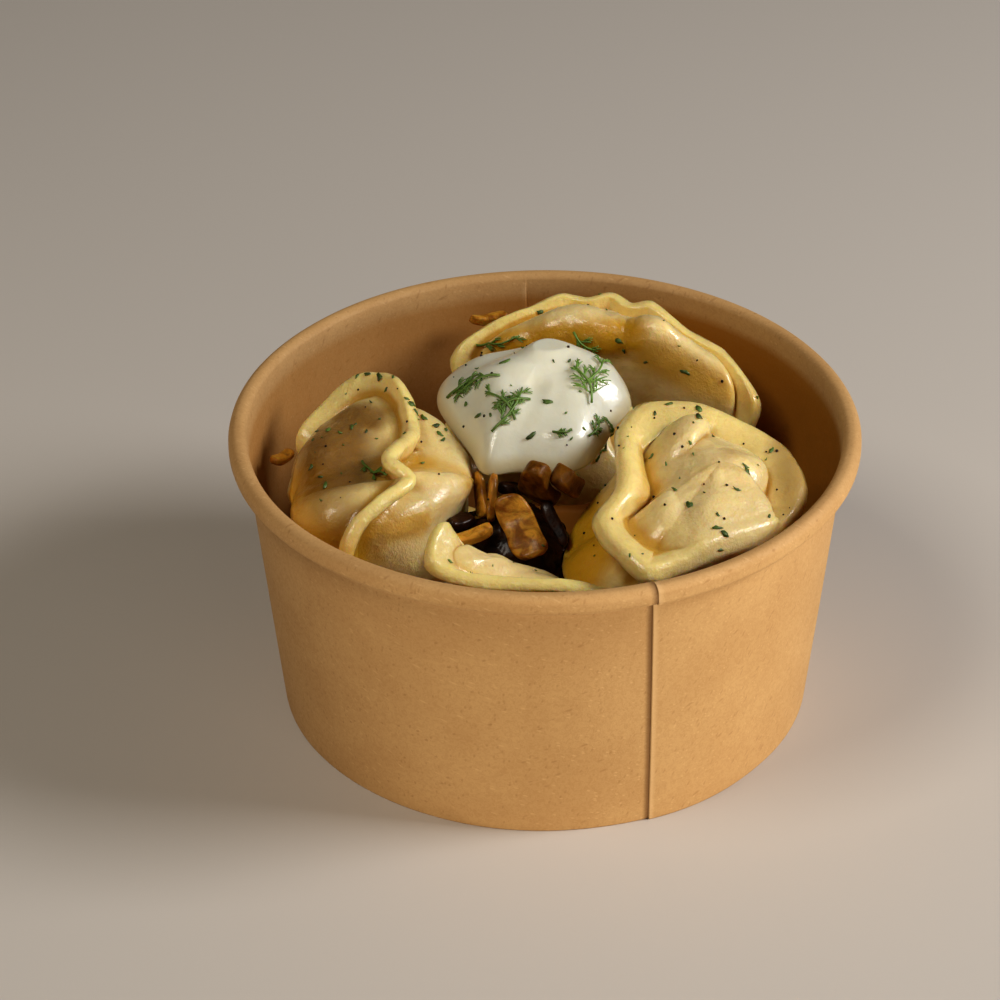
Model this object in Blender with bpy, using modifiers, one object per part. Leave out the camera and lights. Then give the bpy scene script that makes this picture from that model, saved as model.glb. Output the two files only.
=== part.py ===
"""A round kraft paper bowl of boiled half-moon dumplings with soured cream, mushrooms and dill."""

import math
import random
from bisect import bisect_right
from dataclasses import dataclass

import bmesh
import bpy
from mathutils import Matrix, Vector, noise
from mathutils.bvhtree import BVHTree

# Driving sizes of the bowl, in metres. The origin is the centre of its foot, +Z up.
RIM_RADIUS = 0.0750
BOWL_HEIGHT = 0.0725
FOOT_RADIUS = 0.0642
NECK_RADIUS = 0.0711
WALL = 0.0008
ROLL_HALF_WIDTH = 0.0024
ROLL_HALF_HEIGHT = 0.0027
FLOOR_RISE = 0.0050
FOOT_RING_WIDTH = 0.0018
BOWL_STEPS = 54

NECK_Z = BOWL_HEIGHT - 2 * ROLL_HALF_HEIGHT
FLOOR_TOP = FLOOR_RISE + WALL

# The paper's overlap: where it shows outside and inside, in degrees, and its step.
OUTER_SEAM = -70.3
INNER_SEAM = 94.0
SEAM_LEAN = 2.6
SEAM_STEP = 0.0004
SEAM_RUN_OUT = 34
SEAM_SHARP = 0.25

# Seeds of the uneven surfaces and of the strewn herbs.
NOISE_SEED = 3
HERB_SEED = 12

# Clear space left between solids that lie against each other.
CONTACT_GAP = 0.0005
HEAP_GAP = 0.0010

# Rings of a dumpling's skin, from the belly's middle (1) over the flange's foot to its edge (0).
FLANGE_SHARE = 0.36
FINE_RINGS = (0.80, 0.64, 0.51, 0.42, 0.36, 0.20, 0.07)
PLAIN_RINGS = (0.74, 0.54, 0.42, 0.36, 0.20, 0.07)
COARSE_RINGS = (0.68, 0.44, 0.36, 0.12)

# How far the line of the flange's foot cuts the corners of a ruffled edge.
FOOT_EASE = 0.007
BELLY_EASE = 0.020


@dataclass(frozen=True)
class Dumpling:
    """One half-moon of boiled dough, by a few knots in the bowl's frame, in millimetres.

    The seam's knots run along the crimped edge from tip to tip, and the fold's knots run
    back along the round side. Front and back are the middles of the two bellies.
    """

    name: str
    seam: tuple
    fold: tuple
    front: tuple
    back: tuple
    flange: float = 0.008
    lip: float = 0.0036
    foot: float = 0.0026
    rolls: tuple = ((0, 0), (1, 0))  # (share of the seam, millimetres the flange rolls inward)
    plump: float = 0.0  # how far the back belly swells out past the seam
    arch: float = 0.8  # the bellies' profile: 0.5 is round, 0.8 runs in flatter from the seam
    swells: tuple = ()  # (side, start, end, radius, height, sharpness) of each swell or groove
    lumps: float = 0.0010
    seed: int = 1
    columns: int = 56
    rings: tuple = FINE_RINGS


def half_moon(name, middle, turn, tilt, half_length=33, depth=15, bulge=14, seed=1):
    """A plain half-moon that lies turned and tilted about its middle, sizes in millimetres."""
    place = Matrix.Translation(middle) @ Matrix.Rotation(math.radians(turn), 4, "Z")
    place = place @ Matrix.Rotation(math.radians(tilt), 4, "X")

    def arc(first, last, count, height):
        steps = [first + (last - first) * i / (count - 1) for i in range(count)]
        flat = [(half_length * math.cos(math.radians(a)), height * math.sin(math.radians(a))) for a in steps]
        return tuple(place @ Vector((x, y, 0)) for x, y in flat)

    return Dumpling(
        name, seam=arc(0, 180, 7, depth * 1.6), fold=arc(215, 325, 4, depth),
        front=place @ Vector((0, 0, bulge)), back=place @ Vector((0, 0, -bulge)),
        seed=seed, columns=26, rings=COARSE_RINGS,
    )


@dataclass(frozen=True)
class Morsel:
    """A fried piece: middle in millimetres, turns about X, Y and Z, and length, width, thickness."""

    name: str
    place: tuple
    turn: tuple
    size: tuple
    look: tuple
    bend: float = 0.0
    taper: float = 0.0
    square: float = 0.6
    lumps: float = 0.0008
    seed: int = 1


# Looks as (linear colour, roughness).
PAPER = ((0.46, 0.24, 0.095), 0.75)
DOUGH = ((0.74, 0.50, 0.19), 0.38)
CREAM = ((0.80, 0.74, 0.58), 0.35)
ONION = ((0.50, 0.20, 0.035), 0.30)
MUSHROOM = ((0.30, 0.15, 0.06), 0.40)
DARK_MUSHROOM = ((0.07, 0.025, 0.010), 0.25)
HERB = ((0.08, 0.14, 0.02), 0.60)

# The dollop of soured cream: knots of its rim, its middle, and swells and grooves, in millimetres.
CREAM_RIM = (
    (21, 12, 70), (17, 5, 68), (11, -6, 65), (4, -10, 64), (-6, -9, 64), (-14, -10, 64), (-18, -2, 65),
    (-26, 16, 68), (-20, 30, 68), (-2, 33, 70), (14, 28, 71),
)
CREAM_MIDDLE = (-2, 13, 69)
CREAM_SWELLS = (
    (1, (1, 21, 80), (13, 16, 76), 9, 2.0, 2),
    (1, (1, 21, 80), (-10, 12, 76), 9, 1.5, 2),
    (1, (-13, -2, 68), (-11, 6, 74), 7, 1.4, 2),
    (1, (6, -3, 68), (9, 8, 74), 8, 1.6, 2),
    (1, (-4, 0, 70), (-2, 8, 76), 5, -1.0, 2),
    (1, (-18, 18, 72), (-8, 24, 77), 6, -0.8, 2),
)
CREAM_HEIGHT = 0.0105
CREAM_UNDER = 0.0030
CREAM_STEPS = 4

# Sprigs of dill on the cream: stem and tips of the threads, as millimetres in plan.
DILL_FRONDS = (
    (((12, 3), (6, 16)), ((0, 12), (14, 17), (2, 18), (16, 12))),
    (((-16, 2), (-8, 12)), ((-17, 10), (-8, 3), (-2, 10))),
)
HERB_COUNTS = {
    "dumpling_left": 3, "dumpling_right": 6, "dumpling_back": 3, "dumpling_front": 1, "soured_cream": 2,
}
HERB_LENGTH = 0.0045
HERB_WIDTH = 0.0014
HERB_THICK = 0.0010
HERB_LOWEST = 0.058

MORSELS = (
    Morsel(
        "mushroom_wedge", (-1.5, -15.0, 65), (20, 65, 80), (13, 8, 4.5), MUSHROOM,
        taper=0.35, square=0.3, seed=1,
    ),
    Morsel(
        "mushroom_block", (5.0, -14.5, 65), (10, 50, 60), (9, 6.5, 5), MUSHROOM,
        bend=20, square=0.3, seed=2,
    ),
    Morsel("onion_slice", (-5.5, -24, 58), (25, 30, -64), (17, 8, 2.4), ONION, bend=40, taper=0.1, seed=3),
    Morsel("onion_sliver", (-12.2, -15.5, 61), (80, 35, -95), (12, 3.4, 2.2), ONION, bend=-25, seed=4),
    Morsel("onion_leaf", (-14.8, -12, 59), (70, 40, -80), (12, 5, 1.8), ONION, bend=30, seed=5),
    Morsel("onion_stub", (-17, -26, 57), (0, -10, 20), (10, 3.6, 3.0), ONION, bend=20, seed=6),
    Morsel(
        "mushroom_strip", (2.2, -20.5, 57), (20, 35, -60), (12, 3.2, 2.2), DARK_MUSHROOM,
        bend=-20, seed=7,
    ),
    Morsel("mushroom_bit", (-20, -20, 57), (0, 10, 30), (8, 4, 3), DARK_MUSHROOM, bend=20, seed=8),
    Morsel("mushroom_chip", (-8, -8, 58.5), (0, 30, 60), (7, 4, 3), DARK_MUSHROOM, bend=20, seed=9),
    Morsel("crisp_onion_left", (-63, 6, 58), (0, 10, 60), (8, 3, 2.2), ONION, bend=60, seed=10),
    Morsel("crisp_onion_back", (-14, 61, 65), (0, 0, 20), (10, 3, 2.4), ONION, bend=50, seed=11),
)
HEAP_PLACE = (-0.0075, -0.0165, 0.0450)
HEAP_HALF_X = 0.0150
HEAP_HALF_Y = 0.0130
HEAP_HALF_Z = 0.0120
HEAP_COLUMNS = 20

DUMPLINGS = (
    Dumpling(
        "dumpling_left",
        seam=(
            (-59, 10, 62), (-54, 17, 66), (-47, 22, 71), (-40, 21, 74), (-34, 13, 76),
            (-30, -3, 73), (-34, -15, 75), (-36, -22, 75), (-31, -28, 74), (-38, -35, 72),
            (-43, -40, 69), (-46, -44, 61),
        ),
        fold=((-46, -36, 46), (-38, -16, 28), (-42, 6, 32), (-56, 12, 50)),
        front=(-58, -17, 60), back=(-18, -8, 58), arch=0.62,
        swells=(
            (-1, (-46, 6, 66), (-42, -4, 66), 8, -3.5, 1.2),
            (-1, (-50, -8, 66), (-50, -24, 64), 12, 3, 1.5),
            (1, (-30, -23, 71), (-19, -25, 66), 4, -2.5, 1.5),
            (1, (-25, -10, 68), (-20, -16, 64), 10, 2, 1.5),
            (1, (-24, -34, 66), (-22, -32, 62), 9, 2, 1.5),
        ),
        seed=3,
    ),
    Dumpling(
        "dumpling_right",
        seam=(
            (22, -57, 66), (12, -43, 71), (17, -31, 74), (17, -17, 76), (18, -6, 76),
            (23, 2, 76), (31, 4, 75), (39, 2, 75), (50, -3, 72), (58, -10, 70), (61, -20, 67),
            (59, -29, 65),
        ),
        fold=((51, -40, 65), (38, -49, 66), (29, -54, 66)),
        front=(40, -24, 75), back=(17, -25, 47), plump=0.009, flange=0.010, lip=0.0050, arch=0.55,
        rolls=((0, 1), (0.3, 2), (0.42, 2), (0.5, 5), (0.6, 3.5), (0.8, 3.5), (1, 1)),
        swells=(
            (-1, (35, 1, 76), (29, -13, 75), 6.5, 4.5, 0.7),
            (-1, (41, -4, 74), (53, -12, 71), 4.5, 2, 0.8),
            (-1, (25, -30, 73), (28, -50, 70), 4.5, 1.6, 1.5),
            (-1, (21, -30, 73), (22, -50, 70), 2.5, -1.2, 1.5),
            (-1, (34, -50, 68), (54, -37, 67), 4, 1.8, 1.5),
            (-1, (38, -24, 74), (48, -22, 73), 8, 1.5, 1.5),
        ),
        seed=7,
    ),
    Dumpling(
        "dumpling_front",
        seam=(
            (-22, -39, 65), (-24, -40, 69), (-26, -45, 68), (-26, -51, 65), (-20, -53, 63),
            (-9, -53, 62), (4, -54, 62), (14, -52, 58),
        ),
        fold=((6, -43, 50), (-2, -34, 46), (-12, -33, 48)),
        front=(-7, -42, 61), back=(-6, -46, 38), flange=0.006, arch=0.7,
        seed=9, columns=42, rings=PLAIN_RINGS,
    ),
    Dumpling(
        "dumpling_back",
        seam=(
            (-24, 45, 62), (-15, 51, 69), (-2, 56, 72), (5, 58, 74), (11, 56, 74),
            (17, 57, 75), (22, 53, 74), (28, 52, 75), (36, 44, 72), (44, 38, 69), (53, 25, 62),
        ),
        fold=((48, 24, 50), (30, 36, 44), (5, 44, 44), (-18, 46, 52)),
        front=(20, 38, 70), back=(16, 60, 52), flange=0.006, lip=0.0044, arch=0.5,
        swells=(
            (-1, (2, 47, 73), (26, 39, 73), 7, 2.5, 1.2),
            (-1, (26, 39, 73), (45, 17, 71), 7, 2.5, 1.2),
        ),
        seed=5, columns=50, rings=PLAIN_RINGS,
    ),
    Dumpling(
        "dumpling_middle",
        seam=((-25, 11, 60), (-19, 22, 65), (-7, 29, 68), (7, 28, 68), (18, 21, 66), (25, 10, 61)),
        fold=((20, 4, 53), (0, 1, 51), (-18, 4, 53)),
        front=(0, 14, 68), back=(0, 14, 46), seed=11, columns=38, rings=PLAIN_RINGS,
    ),
    half_moon("dumpling_low_left", (-30, 12, 19), 60, 12, seed=13),
    half_moon("dumpling_low_right", (30, 20, 19), -70, -12, seed=15),
    half_moon("dumpling_low_front", (12, -32, 19), 10, 15, seed=17),
)


def smoothstep(low, high, value):
    """0 below low, 1 above high, and a smooth rise between them."""
    share = min(1.0, max(0.0, (value - low) / (high - low)))
    return share * share * (3 - 2 * share)


def between(table, share):
    """Reads a short table of (share, value) smoothly."""
    for (low, first), (high, second) in zip(table, table[1:]):
        if share <= high:
            return first + (second - first) * smoothstep(low, high, share)
    return table[-1][1]


def swollen(point, swells, side):
    """How far a soft skin stands out at a point, by its list of swells and grooves in millimetres."""
    total = 0.0
    for where, start, end, radius, height, sharpness in swells:
        if where * side > 0:
            a, b = Vector(start) / 1000, Vector(end) / 1000
            t = min(1.0, max(0.0, (point - a).dot(b - a) / (b - a).length_squared))
            share = 1 - (point - a.lerp(b, t)).length_squared / (radius / 1000) ** 2
            if share > 0:
                total += height / 1000 * share**sharpness
    return total


def closed_curve(knots, steps):
    """A smooth closed curve as (point, knot number) pairs, with steps points per span."""
    count = len(knots)
    spans = [(knots[(i + 1) % count] - knots[i]).length for i in range(count)]
    slopes = [(knots[(i + 1) % count] - knots[i - 1]) / (spans[i - 1] + spans[i]) for i in range(count)]
    curve = []
    for i in range(count):
        j = (i + 1) % count
        for step in range(steps):
            t = step / steps
            point = (
                knots[i] * (2 * t**3 - 3 * t**2 + 1)
                + slopes[i] * spans[i] * (t**3 - 2 * t**2 + t)
                + knots[j] * (3 * t**2 - 2 * t**3)
                + slopes[j] * spans[i] * (t**3 - t**2)
            )
            curve.append((point, i + t))
    return curve


class Skin:
    """Works out the points of one dumpling's closed skin."""

    def __init__(self, spec):
        self.spec = spec
        knots = [Vector(k) / 1000 for k in spec.seam + spec.fold]
        curve = closed_curve(knots, 12)
        self.dense = [p for p, _ in curve]
        self.numbers = [n for _, n in curve]
        self.lengths = [0.0]
        for a, b in zip(self.dense, self.dense[1:] + self.dense[:1]):
            self.lengths.append(self.lengths[-1] + (b - a).length)
        self.around = self.lengths[-1]
        self.seam_end = self.lengths[12 * (len(spec.seam) - 1)]
        self.front = Vector(spec.front) / 1000
        self.back = Vector(spec.back) / 1000
        self.core = (self.front + self.back) / 2
        feet = [self.outline(self.around * i / 24)[1] for i in range(24)]
        self.middle = sum(feet, Vector()) / 24
        turn = sum((a.cross(b) for a, b in zip(feet, feet[1:] + feet[:1])), Vector())
        self.hand = 1.0 if turn.dot(self.front - self.back) > 0 else -1.0

    def edge(self, length):
        """The outline's point at a length along it."""
        length %= self.around
        at = bisect_right(self.lengths, length) - 1
        share = (length - self.lengths[at]) / (self.lengths[at + 1] - self.lengths[at])
        following = self.dense[(at + 1) % len(self.dense)]
        return self.dense[at].lerp(following, share)

    def seamness(self, length):
        """1 along the crimped seam and 0 along the fold."""
        length %= self.around
        if length <= self.seam_end:
            return 1.0
        fold = self.around - self.seam_end
        share = (length - self.seam_end) / fold
        return 1 - smoothstep(0, 0.45, share) * smoothstep(0, 0.45, 1 - share)

    def eased(self, length, reach):
        """The outline's point with its ruffles evened out over a reach to both sides."""
        total, weights = Vector(), 0.0
        for step in range(-8, 9):
            weight = math.exp(-((step / 5) ** 2))
            total += self.edge(length + step * reach / 5) * weight
            weights += weight
        return total / weights

    def outline(self, length, reach=FOOT_EASE):
        """The flange's edge and foot at a length along the outline."""
        edge = self.edge(length)
        eased = self.eased(length, reach)
        width = self.spec.flange * self.seamness(length)
        foot = eased + (self.core - eased).normalized() * width
        return edge, edge.lerp(foot, self.seamness(length))

    def point(self, length, ring):
        """A point of the skin: ring runs from -1, mid front, over 0, the edge, to 1, mid back."""
        spec = self.spec
        side = 1.0 if ring > 0 else -1.0
        m = abs(ring)
        edge, foot = self.outline(length)
        seamness = self.seamness(length)
        pole = self.back if side > 0 else self.front
        bulge = pole - self.middle
        tangent = self.edge(length + 0.0006) - self.edge(length - 0.0006)
        across = tangent.cross(self.core - edge).normalized() * (-side * self.hand)
        if m <= FLANGE_SHARE:
            u = m / FLANGE_SHARE
            rounding = math.sqrt(1 - max(0.0, 1 - u / 0.2) ** 2)
            half = (spec.lip + (spec.foot - spec.lip) * u) / 2 * rounding
            seamed = edge.lerp(foot, u) + across * half
            if side < 0 and length <= self.seam_end:
                roll = between(spec.rolls, length / self.seam_end) / 1000
                window = smoothstep(0, 0.3, u) * (1 - smoothstep(0.5, 1.0, u))
                seamed += (self.middle - edge).normalized() * (roll * window)
        else:
            v = (m - FLANGE_SHARE) / (1 - FLANGE_SHARE)
            dome = (1 - (1 - v) ** 2) ** spec.arch
            calm = self.outline(length, BELLY_EASE)[1]
            belly = foot.lerp(calm, smoothstep(0, 0.45, v)).lerp(self.middle, v)
            seamed = belly + across * (spec.foot / 2 * (1 - v)) + bulge * dome
            if side > 0:
                seamed += (foot - self.middle).normalized() * (spec.plump * math.sin(math.pi * v))
        quarter = math.pi / 2 * m
        folded = self.middle + (edge - self.middle) * math.cos(quarter) + bulge * math.sin(quarter)
        point = folded.lerp(seamed, seamness)
        point += bulge.normalized() * (swollen(point, spec.swells, side) * smoothstep(0, 0.3, m))
        dent = noise.noise_vector(point * 60 + Vector((spec.seed * 7.3, 0, 0)))
        return point + dent * spec.lumps

    def columns(self):
        """Lengths of the skin's columns, closer together along the seam."""
        seam = round(self.spec.columns * 0.76)
        fold = self.spec.columns - seam
        first = [self.seam_end * i / seam for i in range(seam)]
        second = [self.seam_end + (self.around - self.seam_end) * i / fold for i in range(fold)]
        return first + second

    def mesh(self):
        """The skin's points and faces, in the bowl's frame."""
        half = self.spec.rings
        rings = [-1.0] + [-m for m in half] + [0.0] + [m for m in reversed(half)] + [1.0]
        lengths = self.columns()
        return shaped_sphere(len(lengths), len(rings), lambda i, row: self.point(lengths[i], rings[row]))


def inner_radius(height):
    """The bowl's inner radius at a height above its foot."""
    return FOOT_RADIUS + (NECK_RADIUS - FOOT_RADIUS) * min(1.0, height / NECK_Z) - WALL


def kept_in_bowl(point):
    """The nearest place for a point that lies clear of the bowl's wall and floor."""
    point = point.copy()
    point.z = max(point.z, FLOOR_TOP + CONTACT_GAP)
    if point.z < BOWL_HEIGHT + 0.002:
        limit = inner_radius(point.z) - CONTACT_GAP - 0.0001
        reach = math.hypot(point.x, point.y)
        if reach > limit:
            point.x *= limit / reach
            point.y *= limit / reach
    return point


def lies_in(tree, point):
    """Whether a point lies inside a closed skin, by how often a line out of it crosses."""
    way = Vector((0.13, 0.31, 0.94)).normalized()
    crossings, start = 0, point
    while crossings < 12:
        hit = tree.ray_cast(start, way, 0.2)[0]
        if hit is None:
            break
        crossings += 1
        start = hit + way * 0.00001
    return crossings % 2 == 1


def pressed_out(points, neighbour, gap):
    """Points moved to gap outside a neighbour's skin where they lie in it or nearer."""
    moved = []
    for point in points:
        near, normal, _, distance = neighbour.find_nearest(point, 0.02)
        if near is not None:
            if lies_in(neighbour, point):
                point = near + normal * gap
            elif distance < gap:
                point = near + (point - near).normalized() * gap
        moved.append(point)
    return moved


def settled(skins, fixed=(), gap=CONTACT_GAP, rounds=5):
    """Soft solids as they lie pressed against each other, the bowl and fixed neighbours.

    The first skins give way most. All end up clear of each other by the gap.
    """
    for _ in range(rounds):
        for here in range(len(skins)):
            points, faces = skins[here]
            for other in range(len(skins)):
                if other != here:
                    neighbour = BVHTree.FromPolygons(*skins[other])
                    points = pressed_out(points, neighbour, gap)
            for neighbour in fixed:
                points = pressed_out(points, neighbour, gap)
            skins[here] = ([kept_in_bowl(p) for p in points], faces)
    return skins


def shaped_sphere(columns, rows, place):
    """A sphere whose points are moved to place(column, row), the first and last row its poles.

    Gives its points and outward faces.
    """
    ball = bmesh.new()
    bmesh.ops.create_uvsphere(ball, u_segments=columns, v_segments=rows - 1, radius=1)
    for vert in ball.verts:
        row = round(math.acos(max(-1, min(1, vert.co.z))) / math.pi * (rows - 1))
        column = round(math.atan2(vert.co.y, vert.co.x) / math.tau * columns) % columns
        vert.co = place(column, row)
    if ball.calc_volume(signed=True) < 0:
        bmesh.ops.reverse_faces(ball, faces=ball.faces)
    points = [vert.co.copy() for vert in ball.verts]
    faces = [tuple(vert.index for vert in face.verts) for face in ball.faces]
    ball.free()
    return points, faces


def bowl_profile():
    """The bowl's section as (radius, height) points, down its outer side and up inside."""
    roll_r = RIM_RADIUS - ROLL_HALF_WIDTH
    roll_z = BOWL_HEIGHT - ROLL_HALF_HEIGHT
    roll = []
    for degrees in (150, 115, 80, 50, 20, -10, -45, -80, -115):
        a = math.radians(degrees)
        roll.append((roll_r + ROLL_HALF_WIDTH * math.cos(a), roll_z + ROLL_HALF_HEIGHT * math.sin(a)))
    outer = [(NECK_RADIUS, NECK_Z), (FOOT_RADIUS, 0.0003), (FOOT_RADIUS - 0.0003, 0)]
    ring_inner = FOOT_RADIUS - FOOT_RING_WIDTH
    under = [(ring_inner, 0), (ring_inner, FLOOR_RISE), (0, FLOOR_RISE)]
    slope = (NECK_RADIUS - FOOT_RADIUS) / NECK_Z
    corner = FOOT_RADIUS + slope * FLOOR_TOP - WALL
    inside = [
        (0, FLOOR_TOP), (corner - 0.0012, FLOOR_TOP), (corner, FLOOR_TOP + 0.0012),
        (NECK_RADIUS - WALL, NECK_Z + 0.001),
    ]
    return roll + outer + under + inside


def with_overlap(point):
    """A point of the turned bowl where the paper's overlap stands out at the two seams."""
    radius, height = math.hypot(point.x, point.y), point.z
    if radius < FOOT_RADIUS - 0.0009:
        return point
    step = 360 / BOWL_STEPS
    turn = math.degrees(math.atan2(point.y, point.x))
    outer = inner_radius(height) + WALL
    for seam, side in ((OUTER_SEAM, 1), (INNER_SEAM, -1)):
        past = (turn - seam + 180) % 360 - 180
        shows = radius > outer - 0.0001 if side > 0 else abs(radius - outer + WALL) < 0.0001
        if not shows:
            continue
        if -step / 2 - 0.01 < past <= step / 2:
            turn, past = seam, 0.0
        elif -1.5 * step < past <= -step / 2:
            turn, past = seam - SEAM_SHARP, -1.0
        if past >= 0:
            radius += side * SEAM_STEP * (1 - smoothstep(4, SEAM_RUN_OUT, past))
        if side > 0:
            turn += SEAM_LEAN * (1 - height / BOWL_HEIGHT)
    turn = math.radians(turn)
    return Vector((radius * math.cos(turn), radius * math.sin(turn), height))


def make_bowl(home):
    """The turned paper bowl with its overlapped seams."""
    section = bmesh.new()
    points = [section.verts.new((r, 0, z)) for r, z in bowl_profile()]
    for a, b in zip(points, points[1:] + points[:1]):
        if a.co.x or b.co.x:
            section.edges.new((a, b))
    mesh = bpy.data.meshes.new("bowl_section")
    section.to_mesh(mesh)
    section.free()
    bowl = bpy.data.objects.new("bowl", mesh)
    home.objects.link(bowl)
    turn = bowl.modifiers.new("turn", "SCREW")
    turn.steps = turn.render_steps = BOWL_STEPS
    turn.use_merge_vertices = True
    turn.merge_threshold = 0.00001
    bpy.context.view_layer.update()
    turned = bpy.data.meshes.new_from_object(bowl.evaluated_get(bpy.context.evaluated_depsgraph_get()))
    bowl.modifiers.clear()
    bowl.data = turned
    bpy.data.meshes.remove(mesh)
    turned.name = "bowl"
    for vert in turned.vertices:
        vert.co = with_overlap(vert.co)
    turned.materials.append(make_material("bowl", PAPER))
    return bowl


def cream_skin():
    """The soured cream: a spooned dollop that lies over the middle dumpling."""
    reaches = (0, 0.40, 0.72, 0.93, 1.0, 0.98, 0.92, 0.80, 0.64, 0.44, 0.22, 0)
    rim = [p for p, _ in closed_curve([Vector(k) / 1000 for k in CREAM_RIM], CREAM_STEPS)]
    return shaped_sphere(len(rim), len(reaches), lambda i, row: cream_point(rim[i], reaches[row], row < 4))


def cream_point(rim, reach, under):
    """A point of the dollop at a place of its rim and a share of the reach, on top or underneath."""
    point = (Vector(CREAM_MIDDLE) / 1000).lerp(rim, reach)
    if under:
        point.z -= CREAM_UNDER * math.sqrt(1 - reach**2)
    else:
        point.z += CREAM_HEIGHT * (1 - reach**2.2) ** 0.58
        point.z += swollen(point, CREAM_SWELLS, 1) * smoothstep(1.0, 0.85, reach)
    return point


def morsel_skin(morsel):
    """One bent strip or wedge of fried onion or mushroom, in the bowl's frame."""
    stations = (-1.03, -1, -0.93, -0.6, 0, 0.6, 0.93, 1, 1.03)
    swells = (0, 0.5, 0.86, 1, 1, 1, 0.86, 0.5, 0)
    place = Matrix.Translation(Vector(morsel.place) / 1000)
    turns = [math.radians(a) for a in morsel.turn]
    place = place @ Matrix.Rotation(turns[2], 4, "Z") @ Matrix.Rotation(turns[1], 4, "Y")
    place = place @ Matrix.Rotation(turns[0], 4, "X")
    length, width, thick = (size / 2000 for size in morsel.size)

    def bent(column, row):
        a = math.radians(22.5 + 45 * column)
        x, swell = length * stations[row], swells[row]
        y, z = math.cos(a), math.sin(a)
        y = math.copysign(abs(y) ** morsel.square, y) * width * swell * (1 + morsel.taper * stations[row])
        z = math.copysign(abs(z) ** morsel.square, z) * thick * (0.4 + 0.6 * swell) * (swell > 0)
        lump = noise.noise_vector(Vector((x, y, z)) * 160 + Vector((morsel.seed * 3.1, 0, 0)))
        if abs(morsel.bend) > 1:
            arc = math.radians(morsel.bend) * x / (2 * length)
            radius = 2 * length / math.radians(morsel.bend)
            x, z = (radius - z) * math.sin(arc), radius - (radius - z) * math.cos(arc)
        return place @ (Vector((x, y, z)) + lump * morsel.lumps)

    return shaped_sphere(8, len(stations), bent)


def heap_skin():
    """The dark heap of fried mushroom under the loose pieces, filling the gap."""
    tilts = (-90, -68, -46, -22, 0, 22, 46, 68, 90)

    def lumpy(column, row):
        a, tilt = math.tau * column / HEAP_COLUMNS, math.radians(tilts[row])
        x, y = HEAP_HALF_X * math.cos(tilt) * math.cos(a), HEAP_HALF_Y * math.cos(tilt) * math.sin(a)
        point = Vector((x, y, HEAP_HALF_Z * math.sin(tilt)))
        return Vector(HEAP_PLACE) + point + noise.noise_vector(point * 190) * 0.0016

    return shaped_sphere(HEAP_COLUMNS, len(tilts), lumpy)


def sliver(start, end, up, width, thick, wave):
    """A thin wavy strip of herb from start to end, as points and faces."""
    along = end - start
    side = along.cross(up).normalized()
    shares = (0, 0.08, 0.36, 0.64, 0.92, 1)
    swells = (0, 0.6, 1, 0.9, 0.5, 0)

    def wavy(column, row):
        t, swell = shares[row], swells[row]
        middle = start + along * t + side * (wave * math.sin(4.5 * t)) + up * (wave * 0.3 * math.sin(3 * t))
        a = math.radians(45 + 90 * column)
        return middle + (side * (width * math.cos(a)) + up * (thick * math.sin(a))) * (swell * 0.7)

    return shaped_sphere(4, len(shares), wavy)


def herb_strips(skin, others, count, rng, length, width):
    """Strips strewn by a seeded rule on the open top of one skin, half sunk in it."""
    tree = BVHTree.FromPolygons(*skin)
    trees = [BVHTree.FromPolygons(*other) for other in others]
    low = [min(p[i] for p in skin[0]) for i in (0, 1)]
    high = [max(p[i] for p in skin[0]) for i in (0, 1)]
    strips, tops = [], []
    for _ in range(600):
        if len(strips) == count:
            break
        spot = Vector((rng.uniform(low[0], high[0]), rng.uniform(low[1], high[1]), 0.1))
        top, normal, _, _ = tree.ray_cast(spot, Vector((0, 0, -1)))
        if top is None or normal.z < 0.72 or top.z < HERB_LOWEST:
            continue
        open_sky = all(other.ray_cast(spot, Vector((0, 0, -1)))[0] is None for other in trees)
        nearest = min(other.find_nearest(top)[3] for other in trees)
        if not open_sky or nearest < length * 0.7 or any((top - t).length < 0.007 for t in tops):
            continue
        turn = rng.uniform(0, math.pi)
        along = Vector((math.cos(turn), math.sin(turn), 0))
        along = (along - normal * along.dot(normal)).normalized()
        half = along * length / 2
        strips.append(sliver(top - half, top + half, normal, width, HERB_THICK, width * 0.35))
        tops.append(top)
    return strips


def dill_frond(tree, stem, tips):
    """A sprig of dill lying on the cream: a stem and side threads, half sunk in it."""

    def drop(x, y):
        return tree.ray_cast(Vector((x, y, 120)) / 1000, Vector((0, 0, -1)))[0]

    base, head = drop(*stem[0]), drop(*stem[1])
    up = Vector((0, -0.4, 0.92))
    strips = [sliver(base, head, up, 0.0011, 0.0010, 0.0004)]
    for number, tip in enumerate(tips):
        joint = base.lerp(head, 0.3 + 0.5 * number / len(tips))
        strips.append(sliver(joint, drop(*tip), up, 0.0009, 0.0009, 0.0005))
    return strips


def make_material(name, look):
    colour, roughness = look
    material = bpy.data.materials.new(name)
    material.use_nodes = True
    shader = material.node_tree.nodes["Principled BSDF"]
    shader.inputs["Base Color"].default_value = (*colour, 1)
    shader.inputs["Roughness"].default_value = roughness
    shader.inputs["Metallic"].default_value = 0
    return material


def solid_object(name, skin, look, home, parent=None):
    """A mesh object with its origin amid its own points, linked to a collection."""
    points, faces = skin
    origin = sum(points, Vector()) / len(points) if parent else Vector()
    mesh = bpy.data.meshes.new(name)
    mesh.from_pydata([p - origin for p in points], [], faces)
    mesh.materials.append(make_material(name, look))
    obj = bpy.data.objects.new(name, mesh)
    obj.location = origin
    obj.parent = parent
    home.objects.link(obj)
    return obj


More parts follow.
